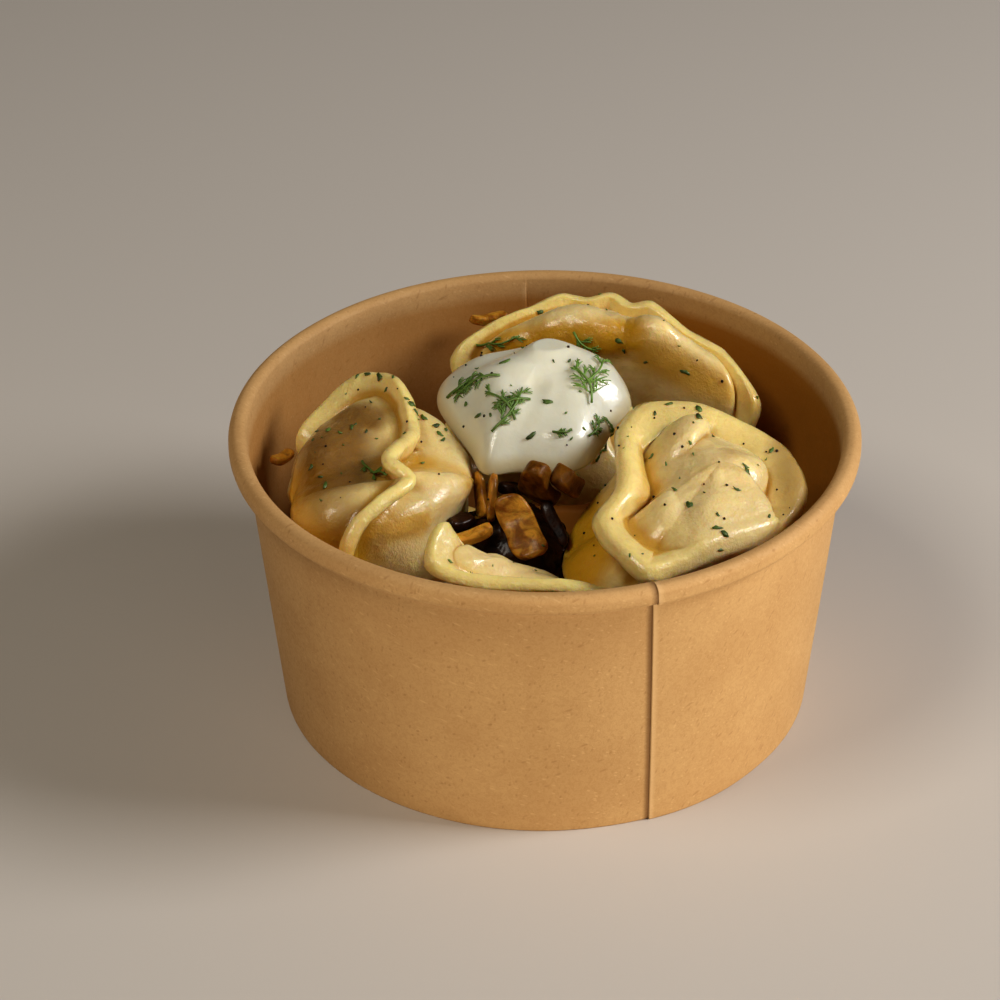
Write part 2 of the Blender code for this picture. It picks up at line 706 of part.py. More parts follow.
def join_herbs(obj, strips, cutters, look):
    """Fuses strips of herb to the object they lie on by one union on a collection."""
    if not strips:
        return
    pile = bpy.data.collections.new(obj.name + "_herbs")
    cutters.children.link(pile)
    for number, strip in enumerate(strips):
        solid_object(f"{obj.name}_herb_{number}", strip, look, pile)
    union = obj.modifiers.new("herbs", "BOOLEAN")
    union.operation = "UNION"
    union.operand_type = "COLLECTION"
    union.collection = pile
    union.solver = "EXACT"
    bpy.context.view_layer.update()
    shaped = bpy.data.meshes.new_from_object(obj.evaluated_get(bpy.context.evaluated_depsgraph_get()))
    obj.modifiers.clear()
    obj.data = shaped
    obj.data.name = obj.name
    obj.data.materials.clear()
    obj.data.materials.append(bpy.data.materials[obj.name])
    for extra in list(pile.objects):
        bpy.data.objects.remove(extra)
    bpy.data.collections.remove(pile)


def main():
    noise.seed_set(NOISE_SEED)
    for obj in list(bpy.data.objects):
        bpy.data.objects.remove(obj)
    home = bpy.data.collections.new("pierogi_bowl")
    cutters = bpy.data.collections.new("cutters")
    for collection in (home, cutters):
        bpy.context.scene.collection.children.link(collection)
    bowl = make_bowl(home)

    names = ["soured_cream"] + [d.name for d in DUMPLINGS]
    skins = dict(zip(names, settled([cream_skin()] + [Skin(d).mesh() for d in DUMPLINGS])))
    trees = [BVHTree.FromPolygons(*skin) for skin in skins.values()]
    names = ["mushroom_heap"] + [m.name for m in MORSELS]
    skins |= zip(names, settled([heap_skin()] + [morsel_skin(m) for m in MORSELS], trees, HEAP_GAP))

    looks = {d.name: DOUGH for d in DUMPLINGS} | {m.name: m.look for m in MORSELS}
    looks |= {"soured_cream": CREAM, "mushroom_heap": DARK_MUSHROOM}
    rng = random.Random(HERB_SEED)
    for name, skin in skins.items():
        strips = []
        others = [other for key, other in skins.items() if key != name]
        if name in HERB_COUNTS:
            strips = herb_strips(skin, others, HERB_COUNTS[name], rng, HERB_LENGTH, HERB_WIDTH)
        if name == "soured_cream":
            for stem, tips in DILL_FRONDS:
                strips += dill_frond(BVHTree.FromPolygons(*skin), stem, tips)
        obj = solid_object(name, skin, looks[name], home, bowl)
        join_herbs(obj, strips, cutters, HERB)
    bpy.data.collections.remove(cutters)


main()
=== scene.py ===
"""Looks of a kraft paper bowl of boiled half-moon dumplings with soured cream, mushrooms and dill.

Lengths are in metres in the row's own frame, unless a docstring says millimetres.
Picture points are places in the 1000 x 1000 view of the camera that this script sets up.
"""

import logging
import math
import random
from bisect import bisect_right
from collections.abc import Callable
from dataclasses import dataclass, field
from enum import Enum

import bpy
import numpy as np
from mathutils import Matrix, Vector, noise
from mathutils.bvhtree import BVHTree

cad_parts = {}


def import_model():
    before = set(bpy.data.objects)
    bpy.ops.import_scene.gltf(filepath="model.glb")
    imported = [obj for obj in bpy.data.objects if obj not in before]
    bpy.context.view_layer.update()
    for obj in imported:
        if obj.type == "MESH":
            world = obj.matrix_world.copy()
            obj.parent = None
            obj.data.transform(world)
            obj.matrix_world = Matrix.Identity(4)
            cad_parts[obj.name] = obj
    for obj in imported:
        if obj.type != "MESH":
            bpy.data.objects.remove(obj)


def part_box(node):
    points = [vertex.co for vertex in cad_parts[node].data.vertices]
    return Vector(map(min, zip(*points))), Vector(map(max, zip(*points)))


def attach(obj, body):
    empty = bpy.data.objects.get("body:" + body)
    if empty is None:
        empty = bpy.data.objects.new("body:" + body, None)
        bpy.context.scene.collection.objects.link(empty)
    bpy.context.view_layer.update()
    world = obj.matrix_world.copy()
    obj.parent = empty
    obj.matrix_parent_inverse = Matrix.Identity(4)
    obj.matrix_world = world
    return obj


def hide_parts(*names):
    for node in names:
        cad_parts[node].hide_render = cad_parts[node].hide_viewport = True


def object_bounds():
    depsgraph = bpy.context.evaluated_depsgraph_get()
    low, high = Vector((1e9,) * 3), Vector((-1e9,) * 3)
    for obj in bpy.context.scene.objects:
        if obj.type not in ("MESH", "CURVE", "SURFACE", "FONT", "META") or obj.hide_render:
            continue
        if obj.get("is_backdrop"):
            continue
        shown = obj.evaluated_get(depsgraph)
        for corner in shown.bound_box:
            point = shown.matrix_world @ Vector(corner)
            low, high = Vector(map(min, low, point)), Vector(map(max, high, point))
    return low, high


LOG = logging.getLogger("dumpling_bowl")

# Seeds of the uneven surfaces and of the strewn herbs.
NOISE_SEED = 3
STREW_SEED = 21

# The bowl's sizes, repeated from the solids.
RIM_RADIUS = 0.0750
BOWL_HEIGHT = 0.0725
FOOT_RADIUS = 0.0642
NECK_RADIUS = 0.0711
WALL = 0.0008
ROLL_HALF_WIDTH = 0.0024
ROLL_HALF_HEIGHT = 0.0027
FLOOR_RISE = 0.0050
NECK_Z = BOWL_HEIGHT - 2 * ROLL_HALF_HEIGHT
FLOOR_TOP = FLOOR_RISE + WALL

# The room between soft pieces, between loose ones, and under the height of the solids.
CONTACT_GAP = 0.0003
LOOSE_GAP = 0.0004
CEILING_GAP = 0.0006

# How much of a dumpling's skin is flange, how its outline is eased, and how deep a full hollow of painted
# shade is.
FLANGE_SHARE = 0.36
FOOT_EASE = 0.007
BELLY_EASE = 0.020
HOLLOW_DEPTH = 0.0024

# Where herbs and pepper fall: within this reach of the middle and above this height.
STREW_REACH = 0.064
FLAKE_LOWEST = 0.052
GRAIN_LOWEST = 0.055
MORE_FLAKES = 110
PEPPER_GRAINS = 90

Place = Callable[[int, int], Vector]
Colour = tuple[float, float, float]
Socket = bpy.types.NodeSocket


class Slot(Enum):
    """The record's material slots."""

    PAPER = "kraft_paper"
    DOUGH = "dough"
    CREAM = "soured_cream"
    ONION = "onion"
    MUSHROOM = "mushroom"
    DARK = "dark_mushroom"


def smoothstep(low: float, high: float, value: float) -> float:
    """0 below low, 1 above high, and a smooth rise between them."""
    share = min(1.0, max(0.0, (value - low) / (high - low)))
    return share * share * (3 - 2 * share)


def between(table: tuple, share: float) -> float:
    """Reads a short table of (share, value) smoothly."""
    for (low, first), (high, second) in zip(table, table[1:]):
        if share <= high:
            return first + (second - first) * smoothstep(low, high, share)
    return table[-1][1]


def swollen(point: Vector, swells: tuple, side: int) -> float:
    """How far a soft skin stands out at a point, by its list of swells and grooves.

    Args:
        point: the place on the skin.
        swells: (side, start, end, radius, height, sharpness) of each, in millimetres.
        side: -1 for the front belly and 1 for the back one.

    Returns:
        The move out of the skin, in metres.
    """
    total = 0.0
    for where, start, end, radius, height, sharp in swells:
        if where != side:
            continue
        a, b = Vector(start) / 1000, Vector(end) / 1000
        along = b - a
        t = min(1.0, max(0.0, (point - a).dot(along) / along.length_squared))
        share = 1 - (point - a - along * t).length_squared / (radius / 1000) ** 2
        if share > 0:
            total += height / 1000 * share**sharp
    return total


def patched(point: Vector, patches: tuple) -> float:
    """How strongly a point lies in one of a few long soft patches.

    Args:
        point: the place on the skin.
        patches: (start, end, radius, strength) of each, in millimetres.

    Returns:
        The strength from 0 to 1.
    """
    strongest = 0.0
    for start, end, radius, strength in patches:
        a, b = Vector(start) / 1000, Vector(end) / 1000
        t = min(1.0, max(0.0, (point - a).dot(b - a) / (b - a).length_squared))
        away = (point - a.lerp(b, t)).length * 1000 / radius
        strongest = max(strongest, strength * (1 - smoothstep(0.35, 1.0, away)))
    return strongest


@dataclass
class Skin:
    """A skin as points and faces, with named shares from 0 to 1 at its points."""

    points: list
    faces: list
    shares: dict = field(default_factory=dict)

    def tree(self) -> BVHTree:
        """A search tree of the skin."""
        return BVHTree.FromPolygons(self.points, self.faces)

    def join(self, other: "Skin") -> None:
        """Takes in another skin."""
        start = len(self.points)
        self.points += other.points
        self.faces += [tuple(start + i for i in face) for face in other.faces]
        for name, values in other.shares.items():
            self.shares.setdefault(name, []).extend(values)

    def object(self, name: str, material: bpy.types.Material) -> bpy.types.Object:
        """Makes the skin a smooth-shaded object.

        Args:
            name: the piece's name.
            material: its finish.

        Returns:
            The object, linked to the scene.
        """
        mesh = bpy.data.meshes.new(name)
        mesh.from_pydata(self.points, [], self.faces)
        for share, values in self.shares.items():
            attribute = mesh.attributes.new(share, "FLOAT", "POINT")
            attribute.data.foreach_set("value", np.array(values, np.float32))
        mesh.materials.append(material)
        mesh.shade_smooth()
        obj = bpy.data.objects.new(name, mesh)
        bpy.context.scene.collection.objects.link(obj)
        return obj


def wrapped(columns: int, rows: int, place: Place) -> Skin:
    """Wraps a closed skin over a grid with a pole at each end.

    Args:
        columns: points around.
        rows: rows from pole to pole.
        place: gives the point at a column and row.

    Returns:
        The skin with its faces outward.
    """
    points = [place(0, 0)]
    for row in range(1, rows - 1):
        points += [place(column, row) for column in range(columns)]
    points.append(place(0, rows - 1))
    faces = []
    last = 1 + (rows - 3) * columns
    for column in range(columns):
        beside = (column + 1) % columns
        faces.append((0, 1 + beside, 1 + column))
        for start in range(1, last, columns):
            after = start + columns
            faces.append((start + column, start + beside, after + beside, after + column))
        faces.append((last + column, last + beside, len(points) - 1))
    middle = sum(points, Vector()) / len(points)
    volume = 0.0
    for face in faces:
        a, b, c = (points[i] - middle for i in face[:3])
        volume += a.dot(b.cross(c))
        if len(face) == 4:
            volume += a.dot(c.cross(points[face[3]] - middle))
    if volume < 0:
        faces = [tuple(reversed(face)) for face in faces]
    return Skin(points, faces)


def closed_curve(knots: list, steps: int) -> list:
    """A smooth closed curve through knots, with steps points per span."""
    count = len(knots)
    spans = [(knots[(i + 1) % count] - knots[i]).length for i in range(count)]
    slopes = [(knots[(i + 1) % count] - knots[i - 1]) / (spans[i - 1] + spans[i]) for i in range(count)]
    curve = []
    for i in range(count):
        j = (i + 1) % count
        for step in range(steps):
            t = step / steps
            curve.append(
                knots[i] * (2 * t**3 - 3 * t**2 + 1)
                + slopes[i] * spans[i] * (t**3 - 2 * t**2 + t)
                + knots[j] * (3 * t**2 - 2 * t**3)
                + slopes[j] * spans[i] * (t**3 - t**2)
            )
    return curve


@dataclass(frozen=True)
class Column:
    """What one line of a dumpling's skin from front to back is worked out from."""

    edge: Vector
    foot: Vector
    calm: Vector
    across: Vector
    seamness: float
    share: float


@dataclass
class Dumpling:
    """A half-moon of boiled dough, by a few knots in the bowl's frame, in millimetres.

    The seam's knots run along the crimped edge from tip to tip, and the fold's knots run
    back along the round side. Front and back are the middles of the two bellies.
    """

    name: str
    seam: tuple
    fold: tuple
    front: tuple
    back: tuple
    flange: float = 0.008
    lip: float = 0.0036
    foot: float = 0.0026
    rolls: tuple = ((0, 0), (1, 0))
    plump: float = 0.0
    arch: float = 0.8
    swells: tuple = ()
    lumps: float = 0.0010
    seed: int = 1
    columns: int = 230
    rings: int = 34
    filling: float = 0.5
    # Patches of painted dark shade, then of painted glow as of light through the dough in shaded places;
    # each (start, end, radius, strength) in millimetres.
    painted_shade_patches: tuple = ()
    painted_glow_patches: tuple = ()

    def __post_init__(self) -> None:
        """Works out the outline's curve and the dumpling's middle."""
        knots = [Vector(k) / 1000 for k in self.seam + self.fold]
        self.dense = closed_curve(knots, 12)
        self.lengths = [0.0]
        for a, b in zip(self.dense, self.dense[1:] + self.dense[:1]):
            self.lengths.append(self.lengths[-1] + (b - a).length)
        self.around = self.lengths[-1]
        self.seam_end = self.lengths[12 * (len(self.seam) - 1)]
        self.front_pole = Vector(self.front) / 1000
        self.back_pole = Vector(self.back) / 1000
        self.core = (self.front_pole + self.back_pole) / 2
        feet = [self.outline(self.around * i / 24)[1] for i in range(24)]
        self.middle = sum(feet, Vector()) / 24
        turn = sum((a.cross(b) for a, b in zip(feet, feet[1:] + feet[:1])), Vector())
        self.hand = 1.0 if turn.dot(self.front_pole - self.back_pole) > 0 else -1.0

    def edge_at(self, length: float) -> Vector:
        """The outline's point at a length along it."""
        length %= self.around
        at = bisect_right(self.lengths, length) - 1
        share = (length - self.lengths[at]) / (self.lengths[at + 1] - self.lengths[at])
        return self.dense[at].lerp(self.dense[(at + 1) % len(self.dense)], share)

    def seamness(self, length: float) -> float:
        """1 along the crimped seam and 0 along the fold."""
        length %= self.around
        if length <= self.seam_end:
            return 1.0
        share = (length - self.seam_end) / (self.around - self.seam_end)
        return 1 - smoothstep(0, 0.45, share) * smoothstep(0, 0.45, 1 - share)

    def eased(self, length: float, reach: float) -> Vector:
        """The outline's point with its ruffles evened out over a reach to both sides."""
        total = Vector()
        weights = 0.0
        for step in range(-8, 9):
            weight = math.exp(-((step / 5) ** 2))
            total += self.edge_at(length + step * reach / 5) * weight
            weights += weight
        return total / weights

    def outline(self, length: float, reach: float = FOOT_EASE) -> tuple[Vector, Vector]:
        """The flange's edge and foot at a length along the outline."""
        edge = self.edge_at(length)
        eased = self.eased(length, reach)
        seamness = self.seamness(length)
        foot = eased + (self.core - eased).normalized() * (self.flange * seamness)
        return edge, edge.lerp(foot, seamness)

    def column(self, length: float) -> Column:
        """Everything of the skin that is the same along one column."""
        edge, foot = self.outline(length)
        tangent = self.edge_at(length + 0.0006) - self.edge_at(length - 0.0006)
        across = tangent.cross(self.core - edge).normalized() * self.hand
        calm = self.outline(length, BELLY_EASE)[1]
        return Column(edge, foot, calm, across, self.seamness(length), length / self.seam_end)

    def point(self, column: Column, ring: float) -> Vector:
        """A point of the skin: ring runs from -1, mid front, over 0, the edge, to 1, mid back."""
        side = 1.0 if ring > 0 else -1.0
        m = abs(ring)
        edge, foot, share = column.edge, column.foot, column.share
        bulge = (self.back_pole if side > 0 else self.front_pole) - self.middle
        across = column.across * -side
        if m <= FLANGE_SHARE:
            u = m / FLANGE_SHARE
            rounding = math.sqrt(1 - max(0.0, 1 - u / 0.2) ** 2)
            half = (self.lip + (self.foot - self.lip) * u) / 2 * rounding
            seamed = edge.lerp(foot, u) + across * half
            if side < 0 and share <= 1:
                roll = between(self.rolls, share) / 1000
                window = smoothstep(0, 0.3, u) * (1 - smoothstep(0.5, 1.0, u))
                seamed += (self.middle - edge).normalized() * (roll * window)
        else:
            v = (m - FLANGE_SHARE) / (1 - FLANGE_SHARE)
            dome = (1 - (1 - v) ** 2) ** self.arch
            belly = foot.lerp(column.calm, smoothstep(0, 0.45, v)).lerp(self.middle, v)
            seamed = belly + across * (self.foot / 2 * (1 - v)) + bulge * dome
            if side > 0:
                seamed += (foot - self.middle).normalized() * (self.plump * math.sin(math.pi * v))
        quarter = math.pi / 2 * m
        folded = self.middle + (edge - self.middle) * math.cos(quarter) + bulge * math.sin(quarter)
        point = folded.lerp(seamed, column.seamness)
        out = swollen(point, self.swells, int(side)) * smoothstep(0, 0.3, m)
        point += bulge.normalized() * out
        offset = Vector((self.seed * 7.3, 0, 0))
        return point + noise.noise_vector(point * 60 + offset) * self.lumps

    def ring_places(self) -> list[float]:
        """Places of the rings from mid front to mid back, closest at the flange's edge."""
        count = self.rings
        half = [0.025, 0.05, 0.075, 0.11, 0.15, 0.19, 0.23, 0.27, 0.31, 0.345, 0.375, 0.40]
        half += [0.40 + 0.60 * (i / count) for i in range(1, count)]
        return [-1.0] + [-m for m in reversed(half)] + [0.0] + half + [1.0]

    def skin(self) -> Skin:
        """The skin with its flange, belly and seam shares."""
        seam = round(self.columns * 0.76)
        fold = self.columns - seam
        lengths = [self.seam_end * i / seam for i in range(seam)]
        lengths += [self.seam_end + (self.around - self.seam_end) * i / fold for i in range(fold)]
        columns = [self.column(length) for length in lengths]
        rings = self.ring_places()
        skin = wrapped(len(columns), len(rings), lambda i, row: self.point(columns[i], rings[row]))
        flange, filled = [0.0], [1.0]
        for ring in rings[1:-1]:
            for column in columns:
                pale = 1 - smoothstep(0.25, 0.52, abs(ring))
                flange.append(pale * column.seamness)
                filled.append(smoothstep(0.45, 0.85, abs(ring)))
        skin.shares = {
            "flange": flange + [0.0], "filled": filled + [1.0],
            # Shares of painted dark shade and of painted glow, from the patches.
            "stain": [patched(point, self.painted_shade_patches) for point in skin.points],
            "glow": [patched(point, self.painted_glow_patches) for point in skin.points],
        }
        return skin


def half_moon(
    name: str, middle: tuple, turn: float, tilt: float, half_length: float = 33,
    depth: float = 15, bulge: float = 14, seed: int = 1,
) -> Dumpling:
    """A plain half-moon that lies turned and tilted about its middle, sizes in millimetres."""
    place = Matrix.Translation(middle) @ Matrix.Rotation(math.radians(turn), 4, "Z")
    place = place @ Matrix.Rotation(math.radians(tilt), 4, "X")

    def arc(first: float, last: float, count: int, height: float) -> tuple:
        """Points of a flat arc from one angle to another."""
        steps = [math.radians(first + (last - first) * i / (count - 1)) for i in range(count)]
        return tuple(place @ Vector((half_length * math.cos(a), height * math.sin(a), 0)) for a in steps)

    return Dumpling(
        name, seam=arc(0, 180, 7, depth * 1.6), fold=arc(215, 325, 4, depth),
        front=place @ Vector((0, 0, bulge)), back=place @ Vector((0, 0, -bulge)),
        seed=seed, columns=90, rings=12,
    )


def dumplings() -> list[Dumpling]:
    """All the bowl's dumplings, the ones that show first."""
    return [
        Dumpling(
            "dumpling_left",
            seam=(
                (-59, 10, 62), (-54, 17, 66), (-47, 22, 71), (-40, 21, 74), (-34, 13, 76),
                (-30, -3, 73), (-34, -15, 75), (-36, -22, 75), (-31, -28, 74), (-38, -35, 72),
                (-43, -40, 69), (-46, -44, 61),
            ),
            fold=((-46, -36, 46), (-38, -16, 28), (-42, 6, 32), (-56, 12, 50)),
            front=(-58, -17, 60), back=(-18, -8, 58), arch=0.62,
            swells=(
                (-1, (-46, 6, 66), (-42, -4, 66), 8, -3.5, 1.2),
                (-1, (-50, -8, 66), (-50, -24, 64), 12, 3, 1.5),
                (1, (-30, -23, 71), (-19, -25, 66), 4, -2.5, 1.5),
                (1, (-25, -10, 68), (-20, -16, 64), 10, 2, 1.5),
                (1, (-24, -34, 66), (-22, -32, 62), 9, 2, 1.5),
            ),
            seed=3, filling=0.9,
            # Patches of painted shade, then patches of painted glow.
            painted_shade_patches=(
                ((-42, 3, 71), (-47, 6, 70), 8, 0.85),
                ((-50, -4, 69), (-49, -18, 68), 15, 0.88),
                ((-48, -28, 66), (-44, -36, 64), 9, 0.5),
            ),
            painted_glow_patches=(
                ((-57, -16, 62), (-46, -38, 58), 12, 0.9),
                ((-29, -10, 66), (-18, -13, 64), 5, 0.5),
                ((-37, -33, 64), (-28, -29, 62), 5, 0.7),
            ),
        ),
        Dumpling(
            "dumpling_right",
            seam=(
                (22, -57, 66), (12, -43, 71), (17, -31, 74), (17, -17, 76), (18, -6, 76),
                (23, 2, 76), (31, 4, 75), (39, 2, 75), (50, -3, 72), (58, -10, 70), (61, -20, 67),
                (59, -29, 65),
            ),
            fold=((51, -40, 65), (38, -49, 66), (29, -54, 66)),
            front=(40, -24, 75), back=(17, -25, 47), plump=0.009, flange=0.010, lip=0.0050, arch=0.55,
            rolls=((0, 1), (0.3, 2), (0.42, 2), (0.5, 5), (0.6, 3.5), (0.8, 3.5), (1, 1)),
            swells=(
                (-1, (35, 1, 76), (29, -13, 75), 6.5, 4.5, 0.7),
                (-1, (41, -4, 74), (53, -12, 71), 4.5, 2, 0.8),
                (-1, (25, -30, 73), (28, -50, 70), 4.5, 1.6, 1.5),
                (-1, (21, -30, 73), (22, -50, 70), 2.5, -1.2, 1.5),
                (-1, (34, -50, 68), (54, -37, 67), 4, 1.8, 1.5),
                (-1, (38, -24, 74), (48, -22, 73), 8, 1.5, 1.5),
            ),
            seed=7, filling=0.35,
            # A patch of painted shade, then patches of painted glow.
            painted_shade_patches=(((60, -30, 65), (58, -10, 69), 9, 0.6),),
            painted_glow_patches=(
                ((8, -36, 56), (7, -14, 56), 13, 1.0),
                ((23, -32, 70), (23, -14, 72), 4, 0.5),
            ),
        ),
        Dumpling(
            "dumpling_front",
            seam=(
                (-22, -39, 65), (-24, -40, 69), (-26, -45, 68), (-26, -51, 65), (-20, -53, 63),
                (-9, -53, 62), (4, -54, 62), (14, -52, 58),
            ),
            fold=((6, -43, 50), (-2, -34, 46), (-12, -33, 48)),
            front=(-7, -42, 61), back=(-6, -46, 38), flange=0.006, arch=0.7, seed=9, filling=0.3,
        ),
        Dumpling(
            "dumpling_back",
            seam=(
                (-24, 45, 62), (-15, 51, 69), (-2, 56, 72), (5, 58, 74), (11, 56, 74),
                (17, 57, 75), (22, 53, 74), (28, 52, 75), (36, 44, 72), (44, 38, 69), (53, 25, 62),
            ),
            fold=((48, 24, 50), (30, 36, 44), (5, 44, 44), (-18, 46, 52)),
            front=(20, 38, 70), back=(16, 60, 52), flange=0.006, lip=0.0044, arch=0.5,
            swells=(
                (-1, (2, 47, 73), (26, 39, 73), 7, 2.5, 1.2),
                (-1, (26, 39, 73), (45, 17, 71), 7, 2.5, 1.2),
            ),
            seed=5, filling=0.3,
            # Patches of painted glow.
            painted_glow_patches=(
                ((-14, 42, 69), (22, 38, 73), 7, 1.0),
                ((24, 33, 70), (50, 20, 65), 8, 0.8),
            ),
        ),
        Dumpling(
            "dumpling_middle",
            seam=((-25, 11, 60), (-19, 22, 65), (-7, 29, 68), (7, 28, 68), (18, 21, 66), (25, 10, 61)),
            fold=((20, 4, 53), (0, 1, 51), (-18, 4, 53)),
            front=(0, 14, 68), back=(0, 14, 46), seed=11, columns=130, rings=20,
        ),
        half_moon("dumpling_low_left", (-30, 12, 19), 60, 12, seed=13),
        half_moon("dumpling_low_right", (30, 20, 19), -70, -12, seed=15),
        half_moon("dumpling_low_front", (12, -32, 19), 10, 15, seed=17),
    ]


def inner_radius(height: float) -> float:
    """The bowl's inner radius at a height above its foot."""
    return FOOT_RADIUS + (NECK_RADIUS - FOOT_RADIUS) * min(1.0, height / NECK_Z) - WALL


def kept_in_bowl(point: Vector) -> Vector:
    """The nearest place for a point that lies clear of the bowl's wall and floor."""
    point = point.copy()
    point.z = max(point.z, FLOOR_TOP + CONTACT_GAP)
    if point.z < BOWL_HEIGHT + 0.002:
        limit = inner_radius(point.z) - CONTACT_GAP
        reach = math.hypot(point.x, point.y)
        if reach > limit:
            point.x *= limit / reach
            point.y *= limit / reach
    return point


def lies_in(tree: BVHTree, point: Vector) -> bool:
    """Whether a point lies inside a closed skin, by how often a line out of it crosses."""
    way = Vector((0.13, 0.31, 0.94)).normalized()
    crossings = 0
    start = point
    while crossings < 12:
        hit = tree.ray_cast(start, way, 0.2)[0]
        if hit is None:
            break
        crossings += 1
        start = hit + way * 0.00001
    return crossings % 2 == 1


def pressed_out(points: list, neighbour: BVHTree, box: tuple, gap: float) -> list:
    """Points moved to gap outside a neighbour's skin where they lie in it or nearer.

    Args:
        points: the skin's points.
        neighbour: the neighbour's search tree.
        box: the neighbour's lowest and highest corner.
        gap: the room that is left.

    Returns:
        The points, in the same order.
    """
    low, high = box
    moved = []
    for point in points:
        if low.x < point.x < high.x and low.y < point.y < high.y and low.z < point.z < high.z:
            near, normal, _, distance = neighbour.find_nearest(point, 0.02)
            if near is not None:
                if lies_in(neighbour, point):
                    point = near + normal * gap
                elif distance < gap:
                    point = near + (point - near).normalized() * gap
        moved.append(point)
    return moved


def box_of(points: list, room: float) -> tuple[Vector, Vector]:
    """The lowest and highest corner of points, with room round them."""
    low = Vector([min(p[i] for p in points) - room for i in range(3)])
    high = Vector([max(p[i] for p in points) + room for i in range(3)])
    return low, high


def settle(skins: list[Skin], fixed: list[Skin], gap: float, rounds: int = 5) -> None:
    """Presses soft skins apart from each other, the bowl and fixed neighbours.

    Args:
        skins: the skins to move; the first give way most.
        fixed: skins that stay as they are.
        gap: the room that is left between all of them.
        rounds: how often every skin gives way.
    """
    walls = [(skin.tree(), box_of(skin.points, gap)) for skin in fixed]
    for _ in range(rounds):
        for here in skins:
            points = here.points
            for other in skins:
                if other is not here:
                    points = pressed_out(points, other.tree(), box_of(other.points, gap), gap)
            for tree, box in walls:
                points = pressed_out(points, tree, box, gap)
            here.points = [kept_in_bowl(p) for p in points]


def neighbours_of(skin: Skin) -> tuple[np.ndarray, np.ndarray]:
    """The two ends of every edge of a skin, each edge in both directions."""
    ends = []
    for face in skin.faces:
        for a, b in zip(face, face[1:] + face[:1]):
            ends.append((a, b))
    ends = np.array(ends)
    return np.concatenate([ends[:, 0], ends[:, 1]]), np.concatenate([ends[:, 1], ends[:, 0]])


def point_normals(skin: Skin, co: np.ndarray) -> np.ndarray:
    """The outward direction at every point of a skin."""
    normals = np.zeros_like(co)
    faces = np.array([face if len(face) == 4 else face + (face[2],) for face in skin.faces])
    span = np.cross(co[faces[:, 2]] - co[faces[:, 0]], co[faces[:, 3]] - co[faces[:, 1]])
    for corner in range(4):
        np.add.at(normals, faces[:, corner], span)
    return normals / np.maximum(np.linalg.norm(normals, axis=1, keepdims=True), 1e-12)


def relieved(skin: Skin, relief: Callable[[Vector], float], evening: int = 24) -> None:
    """Adds fine relief to a skin and marks how hollow it is, as the mask of painted shade in its hollows.

    Args:
        skin: the skin; it gets a share of painted shade in its hollows, 0.5 where it is flat.
        relief: how far out a point moves, by its place.
        evening: how far to both sides hollows are looked for, in points.
    """
    co = np.array([tuple(p) for p in skin.points])
    normals = point_normals(skin, co)
    out = np.array([relief(p) for p in skin.points])
    co = co + normals * out[:, None]
    a, b = neighbours_of(skin)
    count = np.bincount(a, minlength=len(co))[:, None]
    even = co
    for _ in range(evening):
        total = np.zeros_like(co)
        np.add.at(total, a, even[b])
        even = total / count
    depth = ((even - co) * normals).sum(axis=1)
    skin.points = [Vector(p) for p in co]
    skin.shares["hollow"] = list(np.clip(0.5 + depth / HOLLOW_DEPTH, 0, 1))


class Graph:
    """Adds nodes and links to one material's or group's node tree."""

    def __init__(self, tree: bpy.types.NodeTree) -> None:
        """Keeps the tree."""
        self.tree = tree

    def add(self, kind: str, values: dict | None = None, **settings: object) -> bpy.types.Node:
        """Adds a node.

        Args:
            kind: the node's type.
            values: input name or number to a value or to the socket that feeds it.
            settings: the node's own settings.

        Returns:
            The new node.
        """
        node = self.tree.nodes.new(kind)
        for name, value in settings.items():
            setattr(node, name, value)
        for key, value in (values or {}).items():
            self.feed(node.inputs[key], value)
        return node

    def feed(self, socket: Socket, value: object) -> None:
        """Links a socket to a socket, or sets its value."""
        if isinstance(value, Socket):
            self.tree.links.new(value, socket)
        elif isinstance(value, tuple) and len(value) == 3 and socket.type == "RGBA":
            socket.default_value = (*value, 1)
        else:
            socket.default_value = value

    def place(self) -> Socket:
        """A point's place on the piece, in metres."""
        return self.add("ShaderNodeTexCoord").outputs["Object"]

    def share(self, name: str) -> Socket:
        """A named share that the mesh carries."""
        return self.add("ShaderNodeAttribute", attribute_name=name).outputs["Fac"]

    def mixed(self, factor: object, first: object, second: object) -> Socket:
        """Two colours mixed by a factor."""
        node = self.add("ShaderNodeMix", data_type="RGBA")
        for key, value in ((0, factor), (6, first), (7, second)):
            self.feed(node.inputs[key], value)
        return node.outputs[2]

    def math(self, operation: str, *values: object) -> Socket:
        """A sum, product or other reckoning of one to three numbers."""
        node = self.add("ShaderNodeMath", operation=operation)
        for number, value in enumerate(values):
            self.feed(node.inputs[number], value)
        return node.outputs[0]

    def ranged(
        self, value: object, low: object, high: object, to_low: float = 0, to_high: float = 1,
    ) -> Socket:
        """A number taken smoothly from one range to another."""
        node = self.add("ShaderNodeMapRange", interpolation_type="SMOOTHSTEP")
        for key, entry in zip(range(5), (value, low, high, to_low, to_high)):
            self.feed(node.inputs[key], entry)
        return node.outputs[0]

    def group(self, group: bpy.types.NodeTree, **values: object) -> bpy.types.Node:
        """Places a shared group, with its inputs named in words joined by underscores."""
        node = self.add("ShaderNodeGroup", node_tree=group)
        for name, value in values.items():
            self.feed(node.inputs[name.replace("_", " ").capitalize()], value)
        return node

    def bump(self, height: Socket, strength: float, distance: float) -> Socket:
        """The normal of a surface with a height on it."""
        values = {"Strength": strength, "Distance": distance, "Height": height}
        return self.add("ShaderNodeBump", values).outputs[0]


